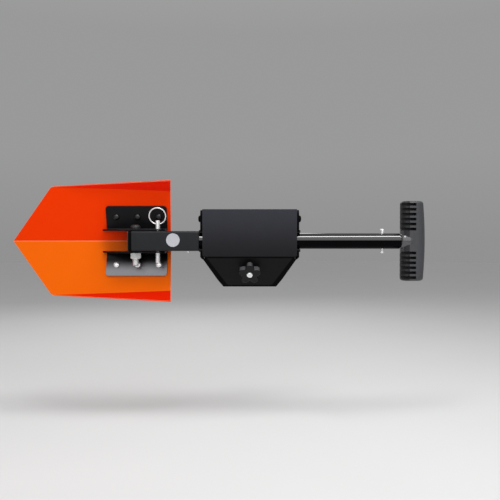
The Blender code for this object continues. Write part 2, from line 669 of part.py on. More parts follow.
def build_grip(colours, handle):
    """Moulded T-grip: an oval bar with finned finger side, a domed socket collar and a cross pin."""
    half = GRIP_LENGTH / 2
    stations = [-half, -half + 0.12 * GRIP_END_ROUND, -half + 0.5 * GRIP_END_ROUND, -half + GRIP_END_ROUND]
    stations += [-half * 0.5, 0, half * 0.5]
    stations += [-height for height in stations[3::-1]]
    shape = bmesh.new()
    loops = []
    for z in stations:
        loops.append([shape.verts.new(point) for point in grip_section(z)])
    for below, above in zip(loops, loops[1:]):
        for index in range(len(below)):
            near = index - 1
            shape.faces.new((below[near], below[index], above[index], above[near]))
    shape.faces.new(loops[0])
    shape.faces.new(loops[-1])
    item = piece("grip", shape, colours["grip"], handle, sharp=50)

    mouth = GRIP_FINGER_SIDE - 0.5 * MM
    neck = COLLAR_RADIUS - COLLAR_ROUND
    collar = [(mouth, 0), *arc((mouth + COLLAR_ROUND, neck), COLLAR_ROUND, 180, 90, 4)]
    collar += [(mouth + COLLAR_LENGTH, COLLAR_RADIUS), (mouth + COLLAR_LENGTH, 0)]
    combine(item, turned(collar, AXIS_POINT, ALONG_X, 32), "UNION")

    outside = GRIP_DEPTH / 2 + 5 * MM
    start = GRIP_FINGER_SIDE - 5 * MM
    slots = [GRIP_FIRST_SLOT + step * GRIP_SLOT_PITCH for step in range(GRIP_SLOTS)]
    for face in (1, -1):
        slot_side = grip_side(start, GRIP_SLOT_END, GRIP_WEB / 2, outside, face)
        step_side = grip_side(start, GRIP_STEP_X, GRIP_DEPTH / 2 - GRIP_STEP_DEPTH, outside, face)
        for side in (1, -1):
            ends = sorted((side * (COLLAR_RADIUS + 1 * MM), side * GRIP_LENGTH))
            combine(item, prism_z(step_side, *ends))
            for height in slots:
                middle = side * height
                combine(item, prism_z(slot_side, middle - GRIP_SLOT_WIDTH / 2, middle + GRIP_SLOT_WIDTH / 2))
    combine(item, rod(AXIS_POINT, ALONG_X, mouth - 5 * MM, INNER_END + GAP, INNER_RADIUS + GAP, 32))

    pin = Vector((INNER_END - GRIP_PIN_INSET, -SHAFT_DEPTH, 0))
    for drilled in (item, bpy.data.objects["inner_shaft"]):
        combine(drilled, rod(pin, ALONG_Y, 5 * MM, 30 * MM, GRIP_PIN_RADIUS + GAP, 16))
    head = GRIP_DEPTH / 2 + GAP
    bolt("grip_pin", pin, ALONG_Y, (head, head + 1.9 * MM), 8 * MM, GRIP_PIN_HEAD, GRIP_PIN_RADIUS,
         colours["zinc"], handle)


def tongue_point(along, outwards):
    """A point by its distance down the tongue and its distance out from the outer face."""
    bend = Vector((0, COVER_FRONT, COVER_BEND))
    return bend + TONGUE_DOWN * along - TONGUE_IN * outwards


def build_back_bracket(colours):
    """Folded plate with two notched cheeks and a slanted seat for the cover's tongue."""
    taper = [(CLAMP_HALF, CLAMP_TOP), (CLAMP_HALF, CHEEK_LOW), (CLAMP_FOOT_HALF, CLAMP_BOTTOM)]
    plate = rounded(taper + [(-x, z) for x, z in taper[::-1]], 4 * MM)
    item = piece("back_bracket", prism_y(plate, -CLAMP_SHEET, 0), colours["black"])
    notch = arc((-SHAFT_DEPTH, 0), NOTCH_RADIUS, 90, -90, 14)
    cheek = rounded([(CHEEK_ROOT, CHEEK_LOW + CHEEK_STEP / 2), (CHEEK_ROOT, CLAMP_TOP - CHEEK_STEP / 3),
                     (-CHEEK_STEP, CLAMP_TOP), (CHEEK_FRONT, CLAMP_TOP), (CHEEK_FRONT, NOTCH_RADIUS),
                     (-SHAFT_DEPTH, NOTCH_RADIUS)], [0, 0, 8 * MM, 12 * MM, 2 * MM, 0])[:-1]
    cheek += notch
    cheek += rounded([(-SHAFT_DEPTH, -NOTCH_RADIUS), (CHEEK_FRONT, -NOTCH_RADIUS), (CHEEK_FRONT, CHEEK_LOW),
                      (-CHEEK_STEP, CHEEK_LOW), (CHEEK_ROOT, CHEEK_LOW + CHEEK_STEP / 2)],
                     [0, 2 * MM, 4 * MM, 4 * MM, 0])[1:-1]
    for side in (1, -1):
        faces = sorted((side * (CLAMP_HALF - CLAMP_SHEET), side * CLAMP_HALF))
        combine(item, prism_x(cheek, *faces), "UNION")
    front_rise = -COVER_SHEET - GAP
    back_rise = front_rise - CLAMP_SHEET
    top_front = tongue_point(SEAT_START, front_rise)
    top_back = tongue_point(SEAT_START, back_rise)
    bottom = CLAMP_BOTTOM + GAP
    floor = bottom + CLAMP_SHEET
    drop = math.cos(TONGUE_TILT)
    foot_front = tongue_point((top_front.z - bottom) / drop + SEAT_START, front_rise)
    foot_back = tongue_point((top_back.z - floor) / drop + SEAT_START, back_rise)
    corners = [(CHEEK_ROOT, bottom), (foot_front.y, bottom), (top_front.y, top_front.z),
               (top_back.y, top_back.z), (foot_back.y, floor), (CHEEK_ROOT, floor)]
    seat_section = rounded(corners, [0, 2.5 * MM, 0.8 * MM, 0.8 * MM, 1 * MM, 0])
    seat = piece("seat", prism_x(seat_section, -CLAMP_HALF, CLAMP_HALF), colours["black"])
    trim = [(x - GAP, z - GAP) for x, z in taper[1:]]
    trim = [(trim[0][0], COVER_TOP), *trim, (trim[-1][0], 2 * CLAMP_BOTTOM)]
    combine(seat, prism_y(trim + [(-x, z) for x, z in trim[::-1]], -2 * COVER_TOP, COVER_TOP), "INTERSECT")
    seat_shape = bmesh.new()
    seat_shape.from_mesh(seat.data)
    bpy.data.objects.remove(seat, do_unlink=True)
    combine(item, seat_shape, "UNION")
    for side in (1, -1):
        for z in WALL_HOLE_Z:
            hole = Vector((side * WALL_HOLE_X, 0, z))
            combine(item, rod(hole, ALONG_Y, -6 * MM, 3 * MM, WALL_HOLE_RADIUS))
    hinge = Vector((0, COVER_HINGE_Y, COVER_HINGE_Z))
    combine(item, rod(hinge, ALONG_X, -110 * MM, 110 * MM, HINGE_PIN_RADIUS + GAP))
    combine(item, rod(tongue_point(KNOB_ALONG, 0), TONGUE_IN, 0, 12 * MM, SEAT_HOLE_RADIUS))


def build_clamp_fittings(colours):
    """Notch liners, cover hinge pins with nuts, and the weld nut behind the seat."""
    for name, side in (("notch_liner_left", -1), ("notch_liner_right", 1)):
        middle = side * (CLAMP_HALF - CLAMP_SHEET / 2)
        ends = (middle - LINER_LENGTH / 2, middle + LINER_LENGTH / 2)
        item = piece(name, liner_shape(NOTCH_RADIUS - GAP, *ends), colours["rubber"])
        lip = CLAMP_SHEET / 2 + GAP
        for out in (1, -1):
            ends = sorted((middle + out * lip, middle + out * LINER_LENGTH / 2))
            combine(item, liner_shape(NOTCH_RADIUS + LINER_LIP, *ends), "UNION")
    for name, side in (("left", -1), ("right", 1)):
        hinge = Vector((0, COVER_HINGE_Y, COVER_HINGE_Z))
        axis = ALONG_X * side
        head = CLAMP_HALF + GAP
        ear = COVER_HALF - COVER_SHEET
        bolt(f"cover_hinge_pin_{name}", hinge, axis, (head, head + HINGE_PIN_RISE), ear - 6 * MM,
             HINGE_PIN_HEAD, HINGE_PIN_RADIUS, colours["zinc"], None)
        hexagon_nut(f"cover_hinge_nut_{name}", hinge, axis, ear - GAP - HINGE_PIN_RISE, ear - GAP,
                    HINGE_NUT_FLATS, HINGE_PIN_RADIUS + GAP, colours["zinc"], None)
    stud = tongue_point(KNOB_ALONG, 0)
    seat_back = COVER_SHEET + GAP + CLAMP_SHEET
    bore = STUD_RADIUS + GAP
    flange = seat_back + 2 * MM
    end = seat_back + WELD_NUT_LENGTH
    profile = [(seat_back + GAP, bore), (seat_back + GAP, WELD_NUT_FLANGE), (flange, WELD_NUT_FLANGE),
               (flange, WELD_NUT_BODY), (end, WELD_NUT_BODY), (end, bore)]
    piece("weld_nut", turned(profile, stud, TONGUE_IN, ring=True), colours["zinc"])


def liner_shape(radius, start, end):
    """A U-shaped strip that lines a notch, open to the front."""
    inner = SHAFT_RADIUS + GAP
    mouth = CHEEK_FRONT + LINER_MOUTH
    outline = [(mouth, radius), *arc((-SHAFT_DEPTH, 0), radius, 90, -90, 12), (mouth, -radius)]
    outline += [(mouth, -inner), *arc((-SHAFT_DEPTH, 0), inner, -90, 90, 12), (mouth, inner)]
    return prism_x(outline, start, end)


def build_cover(colours, carrier):
    """Folded panel with a slanted tongue below and hinge ears at its sides, and its rubber pad."""
    shape = bmesh.new()
    ear_back = COVER_HINGE_Y + EAR_REACH
    bend_half = COVER_HALF - COVER_BEND_INSET

    def corner(x, z, y=COVER_FRONT):
        return shape.verts.new((x, y, z))

    sides = {}
    for side in (1, -1):
        x = side * COVER_HALF
        sides[side] = {
            "top": corner(x, COVER_TOP), "ear_high": corner(x, EAR_HIGH), "ear_low": corner(x, EAR_LOW),
            "chamfer": corner(x, COVER_BEND + COVER_CHAMFER), "bend": corner(side * bend_half, COVER_BEND)}
    names = ("top", "ear_high", "ear_low", "chamfer", "bend")
    shape.faces.new([sides[1][name] for name in names] + [sides[-1][name] for name in names[::-1]])

    end = [(TONGUE_END_HALF, TONGUE_LENGTH), (-TONGUE_END_HALF, TONGUE_LENGTH)]
    outline = rounded([(-bend_half, 0), (bend_half, 0), *end], [0, 0, TONGUE_ROUND, TONGUE_ROUND])[2:]
    tongue = [sides[-1]["bend"], sides[1]["bend"]]
    tongue += [shape.verts.new(tongue_point(along, 0) + ALONG_X * x) for x, along in outline]
    shape.faces.new(tongue)

    ear_outline = rounded([(COVER_FRONT, EAR_HIGH), (COVER_FRONT, EAR_LOW), (ear_back, EAR_LOW + 3 * MM),
                           (ear_back, EAR_HIGH - 3 * MM)], [0, 0, EAR_ROUND, EAR_ROUND])[2:]
    for side in (1, -1):
        ear = [sides[side]["ear_high"], sides[side]["ear_low"]]
        ear += [shape.verts.new((side * COVER_HALF, y, z)) for y, z in ear_outline]
        shape.faces.new(ear)
    middle = Vector((0, COVER_HINGE_Y, 0))
    for face in shape.faces:
        face.normal_update()
        if face.normal.dot(face.calc_center_median() - middle) < 0:
            face.normal_flip()
    item = sheet("cover", shape, COVER_SHEET, colours["black"], carrier)
    hinge = Vector((0, COVER_HINGE_Y, COVER_HINGE_Z))
    combine(item, rod(hinge, ALONG_X, -110 * MM, 110 * MM, HINGE_PIN_RADIUS + GAP))
    combine(item, rod(tongue_point(KNOB_ALONG, 0), TONGUE_IN, -4 * MM, 6 * MM, STUD_RADIUS + 2 * GAP))

    inside = COVER_FRONT + COVER_SHEET
    block = rectangle((-PAD_HALF_LENGTH, -PAD_HALF_HEIGHT), (PAD_HALF_LENGTH, PAD_HALF_HEIGHT), 4 * MM)
    pad = piece("cover_pad", prism_y(block, inside + GAP, inside + PAD_DEPTH), colours["rubber"], carrier)
    combine(pad, rod(AXIS_POINT, ALONG_X, -90 * MM, 90 * MM, SHAFT_RADIUS + GAP, 32))


def star_outline(steps_per_lobe=8):
    """A star with round lobes, by a cosine of the angle."""
    points = []
    count = KNOB_LOBES * steps_per_lobe
    for step in range(count):
        angle = math.tau * step / count
        wave = (1 + math.cos(KNOB_LOBES * angle)) / 2
        radius = KNOB_RADIUS * (1 - 2 * KNOB_SWING * (1 - wave ** 0.7))
        points.append((radius * math.sin(angle), radius * math.cos(angle)))
    return points


def build_knob(colours, carrier):
    """Star knob on a threaded stud, kept on the tongue by a clip."""
    seat = tongue_point(KNOB_ALONG, 0)
    outwards = -TONGUE_IN
    up = -TONGUE_DOWN
    face = KNOB_BASE + KNOB_FOOT
    head_seat = KNOB_BASE + KNOB_HEIGHT

    def on_knob(x, y):
        return seat + ALONG_X * x + up * y + outwards * face

    star = prism(star_outline(), on_knob, outwards * KNOB_HEIGHT)
    item = piece("star_knob", star, colours["plastic"], carrier)
    soften(item, KNOB_EDGE, 2)
    hub_top = face + 2 * MM
    hub = [(KNOB_BASE, 0), (KNOB_BASE, HUB_RADIUS), (hub_top, HUB_RADIUS + 2 * MM), (hub_top, 0)]
    combine(item, turned(hub, seat, outwards, 24), "UNION")
    combine(item, rod(seat, outwards, -5 * MM, 30 * MM, STUD_RADIUS + GAP, 24))
    combine(item, rod(seat, outwards, head_seat, 30 * MM, STUD_HEAD + GAP, 24))
    washer = sleeve(seat, outwards, GAP, KNOB_BASE - GAP, HUB_RADIUS - 1 * MM, STUD_RADIUS + GAP)
    piece("knob_washer", washer, colours["zinc"], carrier)
    profile = [(STUD_TOP, 0), (STUD_TOP, STUD_HEAD - 2.5 * MM), (STUD_TOP - 1 * MM, STUD_HEAD - 0.5 * MM),
               (head_seat + GAP, STUD_HEAD), (head_seat + GAP, STUD_RADIUS), (STUD_END + 1 * MM, STUD_RADIUS),
               (STUD_END, STUD_RADIUS - 1 * MM), (STUD_END, 0)]
    piece("clamp_stud", turned(profile, seat, outwards), colours["zinc"], carrier)
    clip_top = -COVER_SHEET - GAP
    clip = sleeve(seat, outwards, clip_top - 1.5 * MM, clip_top, 7.4 * MM, STUD_RADIUS + GAP)
    piece("stud_clip", clip, colours["zinc"], carrier)


def main():
    """Build every piece on its joint."""
    clear_scene()
    colours = {
        "enamel": paint("orange_enamel", (0.80, 0.055, 0.004), 0.25, 0.0),
        "black": paint("black_powder_coat", (0.028, 0.029, 0.032), 0.5, 0.0),
        "satin": paint("satin_black_tube", (0.024, 0.025, 0.028), 0.4, 0.0),
        "gloss": paint("gloss_black_tube", (0.012, 0.012, 0.014), 0.12, 0.0),
        "zinc": paint("zinc_plated_steel", (0.62, 0.62, 0.62), 0.3, 1.0),
        "grip": paint("grip_plastic", (0.07, 0.072, 0.08), 0.5, 0.0),
        "plastic": paint("black_plastic", (0.018, 0.018, 0.019), 0.45, 0.0),
        "rubber": paint("black_rubber", (0.015, 0.015, 0.015), 0.8, 0.0),
        "disc": paint("blank_disc_grey", (0.42, 0.43, 0.44), 0.4, 0.0),
    }
    snap = Vector((SNAP_BUTTON_X, -SHAFT_DEPTH, 0))
    blade = joint("blade_fold", PIVOT_POINT)
    pin = joint("pin_pull", PIN_POINT)
    ring = joint("ring_swing", PIN_POINT + ALONG_Z * PIN_EYE_Z)
    handle = joint("handle_slide", (INNER_END, -SHAFT_DEPTH, 0))
    buttons = {1: joint("button_top_press", snap), -1: joint("button_bottom_press", snap)}
    socket = joint("socket_button_press", (SOCKET_BUTTON_X, -SHAFT_DEPTH, 0))
    cover = joint("cover_swing", (0, COVER_HINGE_Y, COVER_HINGE_Z))
    knob = joint("knob_turn", tongue_point(KNOB_ALONG, 0))

    build_blade(colours, blade)
    build_bracket("upper_bracket", 1, colours, blade)
    build_bracket("lower_bracket", -1, colours, blade)
    build_bracket_bolts(colours, blade)
    build_pivot(colours, blade)
    build_lock_pin(colours, pin, ring)
    build_hinge_tube(colours)
    build_shaft(colours, handle, buttons, socket)
    build_grip(colours, handle)
    build_back_bracket(colours)
    build_clamp_fittings(colours)
    build_cover(colours, cover)
    build_knob(colours, knob)


main()
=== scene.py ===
"""Dressed model of a folding shovel stowed in its wall clamp.

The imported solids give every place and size.  Here they stay where they are: those that need
a finer surface are replaced by detailed pieces, and every piece gets its finish.  X runs along
the shaft towards the grip, Y runs into the wall, Z is up, and lengths are in metres.
"""
import functools
import json
import logging
import math
from contextlib import contextmanager
from dataclasses import dataclass
from enum import Enum
from typing import Callable, Iterator, Optional, Sequence, Union

import bmesh
import bpy
from bmesh.types import BMEdge, BMesh, BMFace, BMVert
from bpy.types import Material, Object
from mathutils import Matrix, Vector

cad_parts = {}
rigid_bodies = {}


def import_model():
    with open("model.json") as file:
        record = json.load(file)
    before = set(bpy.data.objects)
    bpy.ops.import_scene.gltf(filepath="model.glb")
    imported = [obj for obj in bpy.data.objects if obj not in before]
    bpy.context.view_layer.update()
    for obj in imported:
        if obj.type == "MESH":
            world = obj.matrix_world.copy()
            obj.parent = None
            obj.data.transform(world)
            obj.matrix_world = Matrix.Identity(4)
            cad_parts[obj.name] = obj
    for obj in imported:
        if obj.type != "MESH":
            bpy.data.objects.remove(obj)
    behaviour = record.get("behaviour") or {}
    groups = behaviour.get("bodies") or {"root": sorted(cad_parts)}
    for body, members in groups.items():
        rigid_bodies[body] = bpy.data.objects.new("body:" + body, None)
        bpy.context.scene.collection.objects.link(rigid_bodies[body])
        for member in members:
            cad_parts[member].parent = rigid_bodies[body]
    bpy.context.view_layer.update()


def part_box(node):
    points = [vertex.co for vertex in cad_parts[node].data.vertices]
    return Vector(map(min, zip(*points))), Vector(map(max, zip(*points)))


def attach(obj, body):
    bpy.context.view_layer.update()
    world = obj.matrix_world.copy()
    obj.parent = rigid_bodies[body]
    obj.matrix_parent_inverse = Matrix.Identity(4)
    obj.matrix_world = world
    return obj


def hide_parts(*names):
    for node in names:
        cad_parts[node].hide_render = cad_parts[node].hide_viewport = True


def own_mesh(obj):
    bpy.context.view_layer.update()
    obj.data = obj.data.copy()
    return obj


LOG = logging.getLogger("shovel")

MM = 0.001
GAP = 0.3 * MM  # between neighbouring pieces
MERGE = 0.001 * MM  # points nearer than this are one
CLOSE = 0.1 * MM  # near enough to lie on a line or face
DRILL = 8 * MM  # how far a short drill reaches to each side
CLEAR = 2 * MM  # how far a cut runs out past a face
HEXAGON = 6
EDGE_STEPS = 5
THREAD_DEPTH = 0.55  # share of the pitch
THREAD_CREST = (0.4, 0.6)  # shares of the pitch
SHARP_TURN = 60.0  # degrees

ALONG_X = Vector((1, 0, 0))
ALONG_Y = Vector((0, 1, 0))
ALONG_Z = Vector((0, 0, 1))
SIDES = (1, -1)

SHAFT = Vector((0, -46 * MM, 0))  # the shaft's axis where it crosses the clamp's middle
COVER_HINGE = Vector((0, -52 * MM, 42 * MM))
STUD_ALONG = 26 * MM  # from the cover's bend down the slope to the stud

Pair = tuple[float, float]
Triple = tuple[float, float, float]


class Body(Enum):
    """The bodies that pieces ride on."""

    CLAMP = "clamp_and_shaft"
    BLADE = "blade_head"
    PIN = "pin"
    RING = "ring"
    HANDLE = "handle"
    BUTTON_TOP = "button_top"
    BUTTON_BOTTOM = "button_bottom"
    BUTTON_SOCKET = "button_socket"
    COVER = "cover_panel"
    KNOB = "knob"


class Slot(Enum):
    """The record's material slots."""

    ENAMEL = "orange_enamel"
    POWDER = "powder_coat"
    SATIN = "satin_black"
    GLOSS = "gloss_black"
    ZINC = "zinc_steel"
    GRIP = "grip_plastic"
    PLASTIC = "black_plastic"
    RUBBER = "rubber"
    DISC = "disc_grey"


class Guide(Enum):
    """What a change of colour follows."""

    HEIGHT = "height"
    LEAN = "lean"


class Mixing(Enum):
    """How two colours are mixed."""

    BLEND = "MIX"
    SHADE = "MULTIPLY"


class Join(Enum):
    """How one shape is combined with another."""

    CUT = "DIFFERENCE"
    ADD = "UNION"
    KEEP_COMMON = "INTERSECT"


@dataclass(frozen=True)
class Wire:
    """A shader socket that can be used in arithmetic."""

    graph: "Graph"
    socket: bpy.types.NodeSocket

    def _math(self, operation: str, first: object, second: object) -> "Wire":
        """One Math node on two values."""
        return self.graph.node("ShaderNodeMath", {"operation": operation}, {0: first, 1: second})

    def __add__(self, other: object) -> "Wire":
        """Sum."""
        return self._math("ADD", self, other)

    def __sub__(self, other: object) -> "Wire":
        """Difference."""
        return self._math("SUBTRACT", self, other)

    def __rsub__(self, other: object) -> "Wire":
        """Difference from a number."""
        return self._math("SUBTRACT", other, self)

    def __mul__(self, other: object) -> "Wire":
        """Product."""
        return self._math("MULTIPLY", self, other)

    __radd__ = __add__
    __rmul__ = __mul__


class Graph:
    """The node tree of one material or of the world."""

    def __init__(self, tree: bpy.types.NodeTree) -> None:
        """Start with an empty tree."""
        self.tree = tree
        tree.nodes.clear()

    def node(self, kind: str, settings: Optional[dict] = None, inputs: Optional[dict] = None,
             output: Union[int, str] = 0) -> Wire:
        """Add a node.

        Args:
            kind: the node's type.
            settings: its properties, or the stops of its colour ramp.
            inputs: values or wires by socket name or index.
            output: the socket that the wire starts from.

        Returns:
            A wire from the chosen output.
        """
        made = self.tree.nodes.new(kind)
        for key, value in (settings or {}).items():
            if key == "stops":
                self._set_stops(made.color_ramp.elements, value)
            else:
                setattr(made, key, value)
        for key, value in (inputs or {}).items():
            if isinstance(value, Wire):
                self.tree.links.new(value.socket, made.inputs[key])
            else:
                made.inputs[key].default_value = value
        return Wire(self, made.outputs[output] if made.outputs else None)

    @staticmethod
    def _set_stops(elements: bpy.types.bpy_prop_collection,
                   stops: Sequence[tuple[float, Triple]]) -> None:
        """Give a colour ramp its stops.

        Args:
            elements: what the ramp has so far.
            stops: the position and colour of each stop.
        """
        while len(elements) < len(stops):
            elements.new(1.0)
        for element, (position, colour) in zip(elements, stops):
            element.position = position
            element.color = (*colour, 1.0)

    def place(self, stretch: Triple = (1.0, 1.0, 1.0)) -> Wire:
        """Object coordinates, stretched along each axis."""
        raw = self.node("ShaderNodeTexCoord", output="Object")
        return self.node("ShaderNodeMapping", inputs={"Vector": raw, "Scale": stretch})

    def noise(self, scale: float, detail: float, stretch: Triple = (1.0, 1.0, 1.0)) -> Wire:
        """Noise from 0 to 1, with its scale in cycles to the metre."""
        inputs = {"Vector": self.place(stretch), "Scale": scale, "Detail": detail}
        return self.node("ShaderNodeTexNoise", inputs=inputs)

    def height(self, vector: Wire) -> Wire:
        """The upward part of a vector."""
        return self.node("ShaderNodeSeparateXYZ", inputs={0: vector}, output="Z")

    def lean(self) -> Wire:
        """How far the surface faces up, from -1 to 1."""
        return self.height(self.node("ShaderNodeTexCoord", output="Normal"))

    def span(self, value: Wire, start: float, end: float) -> Wire:
        """A value's smooth share of the way from a start to an end."""
        settings, inputs = {"interpolation_type": "SMOOTHSTEP"}, {"From Min": start, "From Max": end}
        return self.node("ShaderNodeMapRange", settings, {"Value": value, **inputs})

    def mix(self, share: Wire, low: object, high: object, how: Mixing = Mixing.BLEND) -> Wire:
        """Mix two colours by a share."""
        settings = {"data_type": "RGBA", "blend_type": how.value}
        return self.node("ShaderNodeMix", settings, {0: share, 6: low, 7: high}, output=2)


@dataclass(frozen=True)
class Grain:
    """The fine relief of a surface, with its scale in cycles to the metre."""

    scale: float = 900.0
    height: float = 0.02 * MM
    stretch: Triple = (1.0, 1.0, 1.0)
    detail: float = 3.0


@dataclass(frozen=True)
class Finish:
    """A finish whose colour, shine and grain vary a little over the surface."""

    name: str
    colour: Triple
    roughness: float
    grain: Grain = Grain()
    metallic: float = 0.0
    specular: float = 0.5
    coat_roughness: float = 0.06
    coat_ior: float = 1.5
    mottle: float = 0.12
    mottle_scale: float = 40.0
    mottle_detail: float = 4.0
    mark_fineness: float = 2.5
    mark_detail: float = 5.0
    rough_swing: float = 0.08

    @functools.cache
    def material(self) -> Material:
        """Build the finish as a material, when it is first asked for.

        Returns:
            The material, with its nodes linked.
        """
        made = bpy.data.materials.new(self.name)
        made.use_nodes = True
        graph = Graph(made.node_tree)
        grain = graph.noise(self.grain.scale, self.grain.detail, self.grain.stretch)
        relief = {"Strength": 1.0, "Distance": self.grain.height, "Height": grain}
        inputs = {
            "Normal": graph.node("ShaderNodeBump", inputs=relief),
            "Base Color": self.tint(graph),
            "Roughness": self.shine(graph, grain),
            "Metallic": self.metallic,
            "Specular IOR Level": self.specular,
            "Coat Weight": self.polish(graph),
            "Coat Roughness": self.coat_roughness,
            "Coat IOR": self.coat_ior,
        }
        shader = graph.node("ShaderNodeBsdfPrincipled", inputs=inputs)
        graph.node("ShaderNodeOutputMaterial", inputs={"Surface": shader})
        return made

    def patches(self, graph: Graph) -> Wire:
        """Soft patches from 0 to 1."""
        return graph.noise(self.mottle_scale, self.mottle_detail)

    def tint(self, graph: Graph) -> Wire:
        """The colour, a little darker and lighter in soft patches.

        Args:
            graph: the material's nodes.

        Returns:
            The colour.
        """
        patches = self.patches(graph)
        low = tuple(value * (1 - self.mottle) for value in self.colour)
        high = tuple(min(1.0, value * (1 + self.mottle)) for value in self.colour)
        return graph.mix(patches, (*low, 1.0), (*high, 1.0))

    def polish(self, graph: Graph) -> Union[float, Wire]:
        """The weight of the clear coat, which a plain finish doesn't have."""
        return 0.0

    def shine(self, graph: Graph, grain: Wire) -> Wire:
        """The roughness, with handling marks and grain.

        Args:
            graph: the material's nodes.
            grain: the noise of its relief.

        Returns:
            The roughness.
        """
        marks = graph.noise(self.mottle_scale * self.mark_fineness, self.mark_detail)
        swing = (marks - 0.5) * (2 * self.rough_swing) + (grain - 0.5) * self.rough_swing
        return swing + self.roughness


@dataclass(frozen=True)
class Enamel(Finish):
    """Gloss enamel whose colour follows how far it faces up, which paints light and shade into it."""

    facing_down: Triple = (0.98, 0.018, 0.004)
    facing_low: Triple = (0.87, 0.040, 0.000)
    facing_high: Triple = (0.75, 0.112, 0.000)
    facing_up: Triple = (0.61, 0.012, 0.001)
    stops: tuple[float, ...] = (0.18, 0.32, 0.44, 0.56, 0.68, 0.82)
    shade: Triple = (0.75, 0.6, 0.6)

    def tint(self, graph: Graph) -> Wire:
        """The colour by how far the sheet leans, as painted light and shade, with a trace of mottle.

        Args:
            graph: the material's nodes.

        Returns:
            The colour.
        """
        low, high = [self.facing_low] * 2, [self.facing_high] * 2
        stops = list(zip(self.stops, [self.facing_down, *low, *high, self.facing_up]))
        base = graph.node("ShaderNodeValToRGB", {"stops": stops}, {0: graph.lean() * 0.5 + 0.5})
        return graph.mix(self.patches(graph) * self.mottle, base, (*self.shade, 1.0), Mixing.SHADE)


@dataclass(frozen=True)
class Graded(Finish):
    """A finish that changes to another colour by height or by how far it faces up; here that change
    paints light and shade.
    """

    other: Triple = (0.0, 0.0, 0.0)
    guide: Guide = Guide.HEIGHT
    start: float = 0.0
    end: float = 1.0
    patchiness: float = 0.2

    def tint(self, graph: Graph) -> Wire:
        """The colour along its guide, with some mottle in the change.

        Args:
            graph: the material's nodes.

        Returns:
            The colour.
        """
        measure = graph.lean() if self.guide is Guide.LEAN else graph.height(graph.place())
        patchiness = self.patches(graph) * self.patchiness + (1 - self.patchiness / 2)
        share = graph.span(measure, self.start, self.end) * patchiness
        return graph.mix(share, (*self.colour, 1.0), (*self.other, 1.0))


@dataclass(frozen=True)
class Polished(Finish):
    """Dark paint whose upper side has a clear polish."""

    polish_start: float = 0.02
    polish_end: float = 0.18

    def polish(self, graph: Graph) -> Wire:
        """The clear coat by how far the surface faces up."""
        return graph.span(graph.lean(), self.polish_start, self.polish_end)


